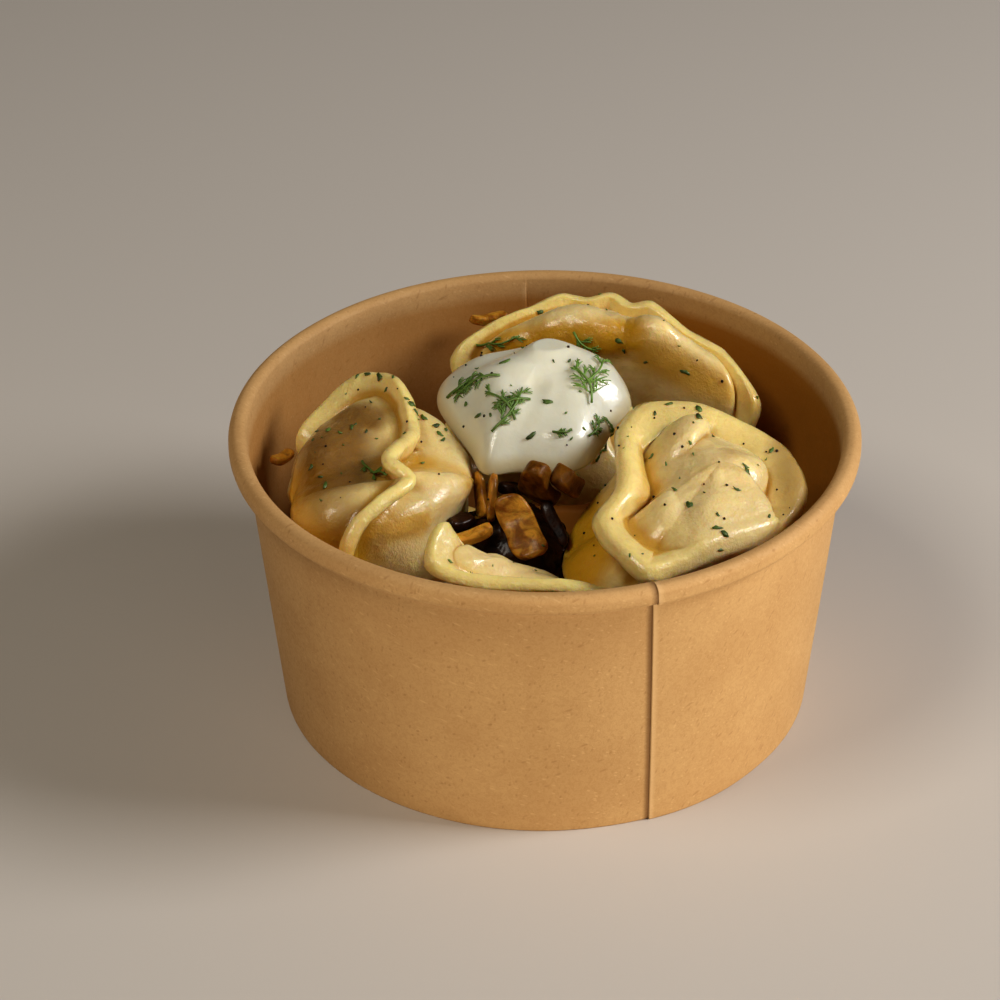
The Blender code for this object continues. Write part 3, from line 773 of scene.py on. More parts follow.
class SharedGroups:
    """The effects that several materials use, each a group with named sockets."""

    def __init__(self) -> None:
        """Builds the groups once."""
        self.blotches = self.build_blotches()
        self.relief = self.build_relief()
        self.flecks = self.build_flecks()

    @staticmethod
    def start(
        name: str, output: str, inputs: dict[str, float],
    ) -> tuple[Graph, bpy.types.Node, bpy.types.Node]:
        """Makes an empty group with number sockets.

        Args:
            name: the group's name.
            output: the output's name.
            inputs: input name to its usual value.

        Returns:
            The graph, its input node and its output node.
        """
        tree = bpy.data.node_groups.new(name, "ShaderNodeTree")
        for words, value in inputs.items():
            socket = tree.interface.new_socket(words, in_out="INPUT", socket_type="NodeSocketFloat")
            socket.default_value = value
        tree.interface.new_socket(output, in_out="OUTPUT", socket_type="NodeSocketFloat")
        graph = Graph(tree)
        return graph, graph.add("NodeGroupInput"), graph.add("NodeGroupOutput")

    def build_blotches(self) -> bpy.types.NodeTree:
        """Soft uneven patches: a mask from 0 to 1."""
        inputs = {"Size": 0.01, "Low": 0.4, "High": 0.6, "Warp": 0.6}
        graph, given, result = self.start("soft_blotches", "Mask", inputs)
        scale = graph.math("DIVIDE", 1.0, given.outputs["Size"])
        values = {"Vector": graph.place(), "Scale": scale, "Detail": 4.0, "Roughness": 0.55}
        cloud = graph.add("ShaderNodeTexNoise", values | {"Distortion": given.outputs["Warp"]})
        mask = graph.ranged(cloud.outputs["Fac"], given.outputs["Low"], given.outputs["High"])
        graph.feed(result.inputs["Mask"], mask)
        return graph.tree

    def build_relief(self) -> bpy.types.NodeTree:
        """Fine relief: coarse swells with fine grain over them, as a height for a Bump node."""
        inputs = {"Swell size": 0.004, "Grain size": 0.0008, "Grain": 0.4}
        graph, given, result = self.start("fine_relief", "Height", inputs)
        place = graph.place()
        heights = []
        for name, detail in (("Swell size", 3.0), ("Grain size", 2.0)):
            scale = graph.math("DIVIDE", 1.0, given.outputs[name])
            values = {"Vector": place, "Scale": scale, "Detail": detail, "Roughness": 0.6}
            cloud = graph.add("ShaderNodeTexNoise", values)
            heights.append(cloud.outputs["Fac"])
        grain = graph.math("MULTIPLY", heights[1], given.outputs["Grain"])
        graph.feed(result.inputs["Height"], graph.math("ADD", heights[0], grain))
        return graph.tree

    def build_flecks(self) -> bpy.types.NodeTree:
        """Small scattered specks or fibres: a mask that is 1 on a fleck."""
        inputs = {"Size": 0.002, "Stretch": 1.0, "Share": 0.2, "Turn": 0.0}
        graph, given, result = self.start("small_flecks", "Mask", inputs)
        stretched = graph.add("ShaderNodeCombineXYZ", {0: 1.0, 1: 1.0, 2: given.outputs["Stretch"]})
        way = graph.place()
        for axis in ("Z_AXIS", "X_AXIS"):
            values = {"Vector": way, "Angle": given.outputs["Turn"]}
            way = graph.add("ShaderNodeVectorRotate", values, rotation_type=axis).outputs[0]
        place = graph.add("ShaderNodeVectorMath", {0: way, 1: stretched.outputs[0]}, operation="MULTIPLY")
        scale = graph.math("DIVIDE", 1.0, given.outputs["Size"])
        values = {"Vector": place.outputs[0], "Scale": scale, "Randomness": 1.0}
        cells = graph.add("ShaderNodeTexVoronoi", values)
        chosen = graph.add("ShaderNodeSeparateColor", {0: cells.outputs["Color"]})
        picked = graph.math("LESS_THAN", chosen.outputs[0], given.outputs["Share"])
        near = graph.ranged(cells.outputs["Distance"], 0.1, 0.35, 1, 0)
        graph.feed(result.inputs["Mask"], graph.math("MULTIPLY", picked, near))
        return graph.tree


def new_material(name: str, **constants: object) -> tuple[bpy.types.Material, Graph, bpy.types.Node]:
    """A material with its Principled shader's constant sockets set.

    Args:
        name: the material's name.
        constants: socket names joined by underscores, and their values.

    Returns:
        The material, its graph and its shader.
    """
    material = bpy.data.materials.new(name)
    material.use_nodes = True
    graph = Graph(material.node_tree)
    shader = material.node_tree.nodes["Principled BSDF"]
    for socket, value in constants.items():
        graph.feed(shader.inputs[socket.replace("_", " ")], value)
    return material, graph, shader


@dataclass(frozen=True)
class PaperFinish:
    """Unbleached kraft board: long brown fibres, pale and dark flecks, a soft matt face, a paler cut edge
    at the lap with a painted shadow line beside it, and painted shade on the inside.
    """

    light: Colour = (0.58, 0.355, 0.150)
    dark: Colour = (0.54, 0.322, 0.132)
    fibre: Colour = (0.38, 0.200, 0.070)
    pale: Colour = (0.72, 0.475, 0.235)
    # A painted shadow line beside the outer lap's edge.
    seam_shadow_colour: Colour = (0.16, 0.075, 0.022)
    # Painted shade on the inside wall and floor.
    inside_shade_colour: Colour = (0.36, 0.145, 0.012)

    def material(self, groups: SharedGroups) -> bpy.types.Material:
        """Builds the material."""
        material, graph, shader = new_material("kraft_board", Specular_IOR_Level=0.35)
        cloud = graph.group(groups.blotches, size=0.018, low=0.35, high=0.65, warp=0.3)
        base = graph.mixed(cloud.outputs[0], self.light, self.dark)
        fine = graph.group(groups.blotches, size=0.0011, low=0.38, high=0.66, warp=1.5)
        base = graph.mixed(graph.math("MULTIPLY", fine.outputs[0], 0.22), base, self.fibre)
        for size, stretch, share, turn, tone, weight in (
            (0.0011, 0.22, 0.30, 0.5, self.fibre, 0.45),
            (0.0009, 0.20, 0.26, 1.9, self.pale, 0.40),
            (0.0013, 0.25, 0.10, 1.2, self.fibre, 0.55),
        ):
            fleck = graph.group(groups.flecks, size=size, stretch=stretch, share=share, turn=turn)
            base = graph.mixed(graph.math("MULTIPLY", fleck.outputs[0], weight), base, tone)
        # A paler strip along the lap's cut edge.
        worn = graph.ranged(graph.share("worn"), 0, 1, 0, 0.6)
        base = graph.mixed(worn, base, self.pale)
        # Painted shade on the inside, half as strong on the left as on the right.
        base = graph.mixed(graph.share("inner"), base, self.inside_shade_colour)
        # A painted shadow line just before the outer lap's edge.
        painted_seam_shadow = graph.ranged(graph.share("worn"), -1, 0, 0.8, 0)
        base = graph.mixed(painted_seam_shadow, base, self.seam_shadow_colour)
        graph.feed(shader.inputs["Base Color"], base)
        graph.feed(shader.inputs["Roughness"], graph.ranged(fine.outputs[0], 0, 1, 0.62, 0.78))
        relief = graph.group(groups.relief, swell_size=0.0016, grain_size=0.0004, grain=0.6)
        graph.feed(shader.inputs["Normal"], graph.bump(relief.outputs[0], 0.30, 0.00012))
        return material


@dataclass(frozen=True)
class DoughFinish:
    """Boiled buttered dough: pale rims, a filling that darkens the belly, painted amber shade in the
    hollows, and patches of painted shade and painted glow.
    """

    rim: Colour = (0.92, 0.72, 0.29)
    belly: Colour = (0.86, 0.69, 0.34)
    # The amber colour is painted shade in the hollows, and also a random tint.
    amber: Colour = (0.58, 0.29, 0.018)
    filling: Colour = (0.46, 0.26, 0.070)
    # The next two colours are painted: dark shade, and a glow as of light through the dough in shaded
    # places.
    shade: Colour = (0.20, 0.080, 0.006)
    glow: Colour = (0.66, 0.36, 0.020)
    name: str = "boiled_dough"
    show_filling: float = 0.5

    def material(self, groups: SharedGroups) -> bpy.types.Material:
        """Builds the material."""
        material, graph, shader = new_material(
            self.name, Subsurface_Weight=0.5, Subsurface_Scale=0.005, Coat_Roughness=0.13,
            Coat_IOR=1.4, Specular_IOR_Level=0.4,
        )
        shader.inputs["Subsurface Radius"].default_value = (1.0, 0.6, 0.12)
        rim = graph.share("flange")
        base = graph.mixed(rim, self.belly, self.rim)
        patch = graph.group(groups.blotches, size=0.009, low=0.42, high=0.66, warp=0.8)
        seen = graph.math("MULTIPLY", patch.outputs[0], graph.share("filled"))
        base = graph.mixed(graph.math("MULTIPLY", seen, self.show_filling), base, self.filling)
        # Painted amber shade in the hollows.
        hollow = graph.ranged(graph.share("hollow"), 0.50, 0.85)
        base = graph.mixed(graph.math("MULTIPLY", hollow, 0.85), base, self.amber)
        # Painted glow, then painted dark shade, in the given patches.
        base = graph.mixed(graph.share("glow"), base, self.glow)
        base = graph.mixed(graph.share("stain"), base, self.shade)
        tint = graph.group(groups.blotches, size=0.0022, low=0.35, high=0.75, warp=0.5)
        base = graph.mixed(graph.math("MULTIPLY", tint.outputs[0], 0.16), base, self.amber)
        graph.feed(shader.inputs["Base Color"], base)
        graph.feed(shader.inputs["Roughness"], graph.ranged(tint.outputs[0], 0, 1, 0.30, 0.44))
        wet = graph.group(groups.blotches, size=0.006, low=0.36, high=0.60, warp=0.4)
        graph.feed(shader.inputs["Coat Weight"], graph.ranged(wet.outputs[0], 0, 1, 0.10, 0.80))
        relief = graph.group(groups.relief, swell_size=0.0026, grain_size=0.0006, grain=0.42)
        graph.feed(shader.inputs["Normal"], graph.bump(relief.outputs[0], 0.55, 0.0006))
        return material


@dataclass(frozen=True)
class CreamFinish:
    """Thick soured cream: glossy, faintly yellow where it thins out."""

    body: Colour = (0.78, 0.77, 0.63)
    thin: Colour = (0.66, 0.58, 0.36)

    def material(self, groups: SharedGroups) -> bpy.types.Material:
        """Builds the material."""
        material, graph, shader = new_material(
            "thick_cream", Subsurface_Weight=0.35, Subsurface_Scale=0.006, Coat_Weight=0.35,
            Coat_Roughness=0.08, Roughness=0.30,
        )
        shader.inputs["Subsurface Radius"].default_value = (1.0, 0.8, 0.5)
        tint = graph.group(groups.blotches, size=0.010, low=0.4, high=0.7, warp=0.3)
        thin = graph.math("MAXIMUM", graph.share("thin"), graph.math("MULTIPLY", tint.outputs[0], 0.15))
        graph.feed(shader.inputs["Base Color"], graph.mixed(thin, self.body, self.thin))
        relief = graph.group(groups.relief, swell_size=0.0030, grain_size=0.0005, grain=0.06)
        graph.feed(shader.inputs["Normal"], graph.bump(relief.outputs[0], 0.22, 0.0005))
        return material


@dataclass(frozen=True)
class FriedFinish:
    """A fried piece: two tones by patches, browned along its edges, and oily."""

    name: str
    flesh: Colour
    brown: Colour
    gloss: float
    soft: float = 0.2

    def material(self, groups: SharedGroups) -> bpy.types.Material:
        """Builds the material."""
        material, graph, shader = new_material(
            self.name, Subsurface_Weight=self.soft, Subsurface_Scale=0.002, Coat_Weight=self.gloss,
            Coat_Roughness=0.16, Roughness=0.45, Specular_IOR_Level=0.15,
        )
        patch = graph.group(groups.blotches, size=0.0045, low=0.35, high=0.68, warp=1.0)
        fibre = graph.group(groups.flecks, size=0.0012, stretch=0.3, share=0.45, turn=0.7)
        browned = graph.math("MAXIMUM", patch.outputs[0], graph.math("MULTIPLY", fibre.outputs[0], 0.5))
        browned = graph.math("MAXIMUM", browned, graph.share("browned"))
        graph.feed(shader.inputs["Base Color"], graph.mixed(browned, self.flesh, self.brown))
        relief = graph.group(groups.relief, swell_size=0.0014, grain_size=0.0004, grain=0.4)
        graph.feed(shader.inputs["Normal"], graph.bump(relief.outputs[0], 0.55, 0.0005))
        return material


FRIED_FINISHES = {
    Slot.ONION: FriedFinish("fried_onion", (0.66, 0.33, 0.040), (0.22, 0.075, 0.003), 0.22, 0.4),
    Slot.MUSHROOM: FriedFinish("fried_mushroom", (0.29, 0.120, 0.010), (0.09, 0.028, 0.002), 0.05),
    Slot.DARK: FriedFinish("dark_mushroom", (0.045, 0.013, 0.002), (0.010, 0.003, 0.001), 0.25, 0.0),
}
PEPPER_FINISH = FriedFinish("ground_pepper", (0.06, 0.035, 0.02), (0.02, 0.012, 0.008), 0.1, 0.0)


@dataclass(frozen=True)
class HerbFinish:
    """Chopped or whole dill: each bit has its own green, from fresh to dried."""

    fresh: Colour = (0.16, 0.30, 0.045)
    dull: Colour = (0.050, 0.075, 0.018)

    def material(self, groups: SharedGroups) -> bpy.types.Material:
        """Builds the material."""
        material, graph, shader = new_material(
            "dill_green", Roughness=0.5, Coat_Weight=0.2, Coat_Roughness=0.2,
        )
        tint = graph.group(groups.blotches, size=0.0015, low=0.3, high=0.7, warp=0.5)
        patchy = graph.ranged(tint.outputs[0], 0, 1, 0.75, 1)
        dull = graph.math("MULTIPLY", graph.share("shade"), patchy)
        graph.feed(shader.inputs["Base Color"], graph.mixed(dull, self.fresh, self.dull))
        return material


@dataclass
class PaperBowl:
    """The round kraft bowl: a rolled rim, a straight wall lapped at two seams, a raised floor."""

    outer_seam: float = -70.3
    inner_seam: float = 94.0
    seam_lean: float = 2.6
    seam_step: float = 0.0005
    run_out: float = 34.0
    roll_from: float = 150.0
    roll_sweep: float = 265.0
    roll_steps: int = 26
    wall_steps: int = 24
    floor_steps: int = 6
    foot_width: float = 0.0018
    columns: int = 360

    def profile(self) -> list[tuple[float, float]]:
        """The section as (radius, height) points, from the roll down outside and up inside."""
        roll_r = RIM_RADIUS - ROLL_HALF_WIDTH
        roll_z = BOWL_HEIGHT - ROLL_HALF_HEIGHT
        section = []
        for i in range(self.roll_steps + 1):
            a = math.radians(self.roll_from - self.roll_sweep * i / self.roll_steps)
            radius = roll_r + ROLL_HALF_WIDTH * math.cos(a)
            section.append((radius, roll_z + ROLL_HALF_HEIGHT * math.sin(a)))
        steps = self.wall_steps
        top = NECK_Z + 0.0004
        for i in range(steps + 1):
            radius = NECK_RADIUS + (FOOT_RADIUS - NECK_RADIUS) * i / steps
            section.append((radius, top + (0.0004 - top) * i / steps))
        section += [(FOOT_RADIUS - 0.0001, 0.0001), (FOOT_RADIUS - 0.0003, 0)]
        ring = FOOT_RADIUS - self.foot_width
        section += [(ring + 0.0002, 0), (ring, 0.0002)]
        section += [(ring, FLOOR_RISE - 0.0005), (ring - 0.0005, FLOOR_RISE)]
        inward = range(self.floor_steps - 1, 0, -1)
        section += [(ring * i / self.floor_steps, FLOOR_RISE) for i in inward]
        section += [(0.0, FLOOR_RISE), (0.0, FLOOR_TOP)]
        corner = FOOT_RADIUS + (NECK_RADIUS - FOOT_RADIUS) / NECK_Z * FLOOR_TOP - WALL
        section += [(corner * i / self.floor_steps, FLOOR_TOP) for i in reversed(inward)]
        low, high = FLOOR_TOP + 0.0012, NECK_Z + 0.001
        section += [(corner - 0.0012, FLOOR_TOP), (corner - 0.0003, FLOOR_TOP + 0.0004), (corner, low)]
        for i in range(1, steps + 1):
            radius = corner + (NECK_RADIUS - WALL - corner) * i / steps
            section.append((radius, low + (high - low) * i / steps))
        return section

    def turns(self) -> list[float]:
        """Column angles in degrees, with a tight pair at each seam's cut edge."""
        turns = [360 * i / self.columns for i in range(self.columns)]
        for seam in (self.outer_seam % 360, self.inner_seam):
            turns = [t for t in turns if abs((t - seam + 180) % 360 - 180) > 0.7]
            turns += [seam - 0.5, seam - 0.12, seam - 0.10, seam, seam + 0.5]
        return sorted(turns)

    def lapped(self, radius: float, height: float, turn: float, outside: bool) -> tuple[Vector, float]:
        """A point of the wall with the board's lap, and its tone: above 0 a paler cut edge, below 0
        painted shadow.
        """
        worn = 0.0
        on_roll = height > NECK_Z + 0.0006
        seam, side = (self.outer_seam, 1) if outside else (self.inner_seam, -1)
        past = (turn - seam + 180) % 360 - 180
        step = self.seam_step * (0.55 if on_roll else 1.0)
        if past >= -0.11:
            radius += side * step * (1 - smoothstep(3, self.run_out, past))
            # A paler strip along the lap's cut edge.
            worn = 1 - smoothstep(0.2, 0.9, past)
        elif past > -1.4:
            radius -= side * 0.00012 * smoothstep(-1.4, -0.2, past)
        if outside:
            near = math.exp(-((past / 40) ** 2))
            turn += self.seam_lean * (1 - height / BOWL_HEIGHT) * near
        a = math.radians(turn)
        uneven = noise.noise(Vector((math.cos(a), math.sin(a), height * 9)) * 2.2)
        radius += uneven * (0.00016 if on_roll else 0.00022)
        # A painted shadow line just before the outer lap's edge, given below 0.
        painted_seam_shadow = smoothstep(-1.0, -0.3, past) if past < -0.11 and outside else 0.0
        return Vector((radius * math.cos(a), radius * math.sin(a), height)), worn - painted_seam_shadow

    def build(self, material: bpy.types.Material) -> bpy.types.Object:
        """Builds the bowl and has it stand for the solid."""
        section = self.profile()
        turns = self.turns()
        floor_at = next(i for i, (r, _) in enumerate(section) if r == 0.0)
        low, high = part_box("bowl")
        reach = min(high.x, high.y, -low.x, -low.y)
        points, worn, inner, rows = [], [], [], []
        for number, (radius, height) in enumerate(section):
            if radius == 0.0:
                rows.append([len(points)] * len(turns))
                points.append(Vector((0, 0, height)))
                worn.append(0.0)
                inner.append(0.0)
                continue
            rows.append(list(range(len(points), len(points) + len(turns))))
            for turn in turns:
                if radius > FOOT_RADIUS - 0.0012:
                    point, edge_tone_and_shadow = self.lapped(radius, height, turn, number < floor_at)
                else:
                    a = math.radians(turn)
                    point, edge_tone_and_shadow = Vector((radius * math.cos(a), radius * math.sin(a), height)), 0.0
                over = math.hypot(point.x, point.y) / (reach - 0.00002)
                if over > 1:
                    point.x /= over
                    point.y /= over
                point.z = min(point.z, high.z)
                points.append(point)
                worn.append(edge_tone_and_shadow)
                # Painted shade inside, below the rim: half strength on the left, full toward the right.
                right_side_shade = 0.50 + 0.50 * smoothstep(-0.040, 0.020, point.x)
                below_rim = 1 - smoothstep(NECK_Z - 0.002, NECK_Z + 0.001, height)
                inner.append(float(number > floor_at) * below_rim * right_side_shade)
        faces = []
        count = len(turns)
        for number in range(len(rows)):
            above, below = rows[number], rows[(number + 1) % len(rows)]
            if above[0] == above[1] and below[0] == below[1]:
                continue
            for i in range(count):
                j = (i + 1) % count
                face = (above[i], below[i], below[j], above[j])
                faces.append(tuple(dict.fromkeys(face)))
        skin = Skin(points, faces, {"worn": worn, "inner": inner})
        bowl = skin.object("paper_bowl", material)
        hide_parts("bowl")
        return bowl


@dataclass
class CreamDollop:
    """The spooned dollop of soured cream, by knots of its rim in millimetres."""

    rim: tuple = (
        (21, 12, 70), (17, 5, 68), (11, -6, 65), (4, -10, 64), (-6, -9, 64), (-14, -10, 64),
        (-18, -2, 65), (-26, 16, 68), (-20, 30, 68), (-2, 33, 70), (14, 28, 71),
    )
    middle: tuple = (-2, 13, 69)
    height: float = 0.0105
    under: float = 0.0030
    swells: tuple = (
        (1, (1, 21, 80), (13, 16, 76), 9, 2.0, 2),
        (1, (1, 21, 80), (-10, 12, 76), 9, 1.5, 2),
        (1, (-13, -2, 68), (-11, 6, 74), 7, 1.4, 2),
        (1, (6, -3, 68), (9, 8, 74), 8, 1.6, 2),
        (1, (-4, 0, 70), (-2, 8, 76), 5, -1.0, 2),
        (1, (-18, 18, 72), (-8, 24, 77), 6, -0.8, 2),
    )
    columns: int = 220
    rows: int = 84

    def point(self, rim: Vector, reach: float, below: bool) -> Vector:
        """A point at a place of the rim and a share of the reach, on top or underneath."""
        middle = Vector(self.middle) / 1000
        point = middle.lerp(rim, reach)
        if below:
            point.z -= self.under * math.sqrt(max(0.0, 1 - reach**2))
        else:
            point.z += self.height * max(0.0, 1 - reach**2.2) ** 0.58
            point.z += swollen(point, self.swells, 1) * smoothstep(1.0, 0.85, reach)
        return point

    def skin(self) -> Skin:
        """The dollop's skin, with the share "thin" along its rim."""
        under = self.rows // 4
        top = self.rows - under
        reaches = [math.sin(math.pi / 2 * i / under) for i in range(under)]
        reaches += [math.cos(math.pi / 2 * (i / (top - 1))) for i in range(top)]
        reaches[-1] = 0.0
        knots = [Vector(k) / 1000 for k in self.rim]
        curve = closed_curve(knots, self.columns // len(knots))
        skin = wrapped(
            len(curve), self.rows, lambda i, row: self.point(curve[i], reaches[row], row < under),
        )
        thin = [1.0]
        for row in range(1, self.rows - 1):
            share = 1.0 if row < under else smoothstep(0.90, 1.0, reaches[row])
            thin += [share] * len(curve)
        skin.shares["thin"] = thin + [0.0]
        return skin


@dataclass(frozen=True)
class Morsel:
    """A fried piece: middle in millimetres, turns about X, Y and Z, and length, width, thickness."""

    name: str
    place: tuple
    turn: tuple
    size: tuple
    slot: Slot
    bend: float = 0.0
    taper: float = 0.0
    square: float = 0.6
    lumps: float = 0.0008
    seed: int = 1
    columns: int = 40
    rows: int = 33

    def skin(self) -> Skin:
        """The bent and tapered strip or wedge."""
        place = Matrix.Translation(Vector(self.place) / 1000)
        turns = [math.radians(a) for a in self.turn]
        place = place @ Matrix.Rotation(turns[2], 4, "Z") @ Matrix.Rotation(turns[1], 4, "Y")
        place = place @ Matrix.Rotation(turns[0], 4, "X")
        length, width, thick = (size / 2000 for size in self.size)
        offset = Vector((self.seed * 3.1, 0, 0))

        def bent(column: int, row: int) -> Vector:
            """The point at a column and row."""
            a = math.tau * (column + 0.5) / self.columns
            station = -1.03 + 2.06 * row / (self.rows - 1)
            swell = math.sqrt(max(0.0, 1 - (abs(station) / 1.03) ** 7))
            x = length * station
            y, z = math.cos(a), math.sin(a)
            y = math.copysign(abs(y) ** self.square, y) * width * swell * (1 + self.taper * station)
            z = math.copysign(abs(z) ** self.square, z) * thick * (0.4 + 0.6 * swell) * (swell > 0)
            lump = noise.noise_vector(Vector((x, y, z)) * 160 + offset)
            if abs(self.bend) > 1:
                arc = math.radians(self.bend) * x / (2 * length)
                radius = 2 * length / math.radians(self.bend)
                x, z = (radius - z) * math.sin(arc), radius - (radius - z) * math.cos(arc)
            return place @ (Vector((x, y, z)) + lump * self.lumps)

        skin = wrapped(self.columns, self.rows, bent)
        rim = [0.0]
        for row in range(1, self.rows - 1):
            for column in range(self.columns):
                side = abs(math.cos(math.tau * (column + 0.5) / self.columns))
                end = abs(-1.03 + 2.06 * row / (self.rows - 1))
                rim.append(max(smoothstep(0.9, 1.0, side), smoothstep(0.8, 1.0, end)) * 0.6)
        skin.shares["browned"] = rim + [0.0]
        return skin


MORSELS = (
    Morsel(
        "mushroom_wedge", (-1.5, -15.0, 65), (20, 65, 80), (13, 8, 4.5),
        Slot.MUSHROOM, taper=0.35, square=0.3, seed=1,
    ),
    Morsel(
        "mushroom_block", (5.0, -14.5, 65), (10, 50, 60), (9, 6.5, 5),
        Slot.MUSHROOM, bend=20, square=0.3, seed=2,
    ),
    Morsel(
        "onion_slice", (-5.5, -24, 58), (25, 30, -64), (17, 8, 2.4),
        Slot.ONION, bend=40, taper=0.1, seed=3,
    ),
    Morsel(
        "onion_sliver", (-12.2, -15.5, 61), (80, 35, -95), (12, 3.4, 2.2),
        Slot.ONION, bend=-25, seed=4,
    ),
    Morsel(
        "onion_leaf", (-14.8, -12, 59), (70, 40, -80), (12, 5, 1.8),
        Slot.ONION, bend=30, seed=5,
    ),
    Morsel(
        "onion_stub", (-17, -26, 57), (0, -10, 20), (10, 3.6, 3.0),
        Slot.ONION, bend=20, seed=6,
    ),
    Morsel(
        "mushroom_strip", (2.2, -20.5, 57), (20, 35, -60), (12, 3.2, 2.2),
        Slot.DARK, bend=-20, seed=7,
    ),
    Morsel(
        "mushroom_bit", (-20, -20, 57), (0, 10, 30), (8, 4, 3),
        Slot.DARK, bend=20, seed=8,
    ),
    Morsel(
        "mushroom_chip", (-8, -8, 58.5), (0, 30, 60), (7, 4, 3),
        Slot.DARK, bend=20, seed=9,
    ),
    Morsel(
        "crisp_onion_left", (-63, 6, 58), (0, 10, 60), (8, 3, 2.2),
        Slot.ONION, bend=60, seed=10,
    ),
    Morsel(
        "crisp_onion_back", (-14, 61, 65), (0, 0, 20), (10, 3, 2.4),
        Slot.ONION, bend=50, seed=11,
    ),
)


@dataclass
class MushroomHeap:
    """The dark heap of fried mushroom under the loose pieces."""

    place: tuple = (-0.0075, -0.0165, 0.0450)
    half: tuple = (0.0150, 0.0130, 0.0120)
    columns: int = 160
    rows: int = 70

    def skin(self) -> Skin:
        """The heap's lumpy skin."""

        def lumpy(column: int, row: int) -> Vector:
            """The point at a column and row."""
            a = math.tau * column / self.columns
            tilt = math.pi * (row / (self.rows - 1) - 0.5)
            x = self.half[0] * math.cos(tilt) * math.cos(a)
            y = self.half[1] * math.cos(tilt) * math.sin(a)
            point = Vector((x, y, self.half[2] * math.sin(tilt)))
            lumps = noise.noise_vector(point * 190) * 0.0016 + noise.noise_vector(point * 520) * 0.0007
            return Vector(self.place) + point + lumps

        skin = wrapped(self.columns, self.rows, lumpy)
        skin.shares["browned"] = [0.0] * len(skin.points)
        return skin


@dataclass(frozen=True)
class View:
    """The camera, 1000 x 1000 points wide and high, and the lines of sight through its points."""

    place: tuple = (0.0, -0.7263, 0.5178)
    ahead: tuple = (-0.01240, 0.84078, -0.54124)
    up: tuple = (0.00059, 0.54129, 0.84084)
    right: tuple = (0.99992, 0.01010, -0.00720)
    lens: float = 129.6
    sensor: float = 36.0

    def build(self) -> bpy.types.Object:
        """Makes the camera the scene's own."""
        data = bpy.data.cameras.new("photo_camera")
        data.lens = self.lens
        data.sensor_width = self.sensor
        data.clip_start = 0.01
        camera = bpy.data.objects.new("photo_camera", data)
        bpy.context.scene.collection.objects.link(camera)
        turn = Matrix((self.right, self.up, -Vector(self.ahead))).transposed().to_4x4()
        turn.translation = self.place
        camera.matrix_world = turn
        bpy.context.scene.camera = camera
        return camera

    def sight(self, x: float, y: float) -> Vector:
        """The direction from the camera through a picture point."""
        focal = self.lens / self.sensor * 1000
        line = Vector(self.ahead) + Vector(self.right) * ((x - 500) / focal)
        return (line - Vector(self.up) * ((y - 500) / focal)).normalized()


class Table:
    """All the food's skins in one search tree, on which herbs are strewn."""

    def __init__(self, skins: dict[str, Skin], view: View) -> None:
        """Keeps the food's surface and the view."""
        whole = Skin([], [])
        for skin in skins.values():
            whole.join(Skin(skin.points, skin.faces))
        self.tree = whole.tree()
        self.view = view

    def seen(self, x: float, y: float) -> tuple[Vector, Vector] | None:
        """The food's point and normal at a picture point."""
        spot, normal, _, _ = self.tree.ray_cast(Vector(self.view.place), self.view.sight(x, y))
        return None if spot is None else (spot, normal)

    def below(self, x: float, y: float) -> tuple[Vector, Vector] | None:
        """The food's top point and normal over a place in plan."""
        spot, normal, _, _ = self.tree.ray_cast(Vector((x, y, 0.12)), Vector((0, 0, -1)))
        return None if spot is None else (spot, normal)

    def laid(self, point: Vector, lift: float) -> Vector:
        """A point laid on the food's surface, lifted a little."""
        spot, normal, _, _ = self.tree.find_nearest(point)
        return spot + normal * lift


def thread(line: list, start: float, end: float, sides: int = 5) -> Skin:
    """A tapered round thread along a line of points.

    Args:
        line: the points of its middle.
        start: its radius at the first point.
        end: its radius at the last point.
        sides: how many sides it has.

    Returns:
        The thread's closed skin.
    """
    count = len(line)
    frames = []
    for i, point in enumerate(line):
        along = (line[min(i + 1, count - 1)] - line[max(i - 1, 0)]).normalized()
        side = along.cross(Vector((0.1, 0.2, 1))).normalized()
        frames.append((point, side, along.cross(side)))

    def ring(column: int, row: int) -> Vector:
        """The point at a column and row; the first and last row are the ends."""
        point, side, up = frames[min(max(row - 1, 0), count - 1)]
        if row in (0, count + 1):
            return point
        radius = start + (end - start) * (row - 1) / max(1, count - 1)
        a = math.tau * column / sides
        return point + side * (radius * math.cos(a)) + up * (radius * math.sin(a))

    return wrapped(sides, count + 2, ring)


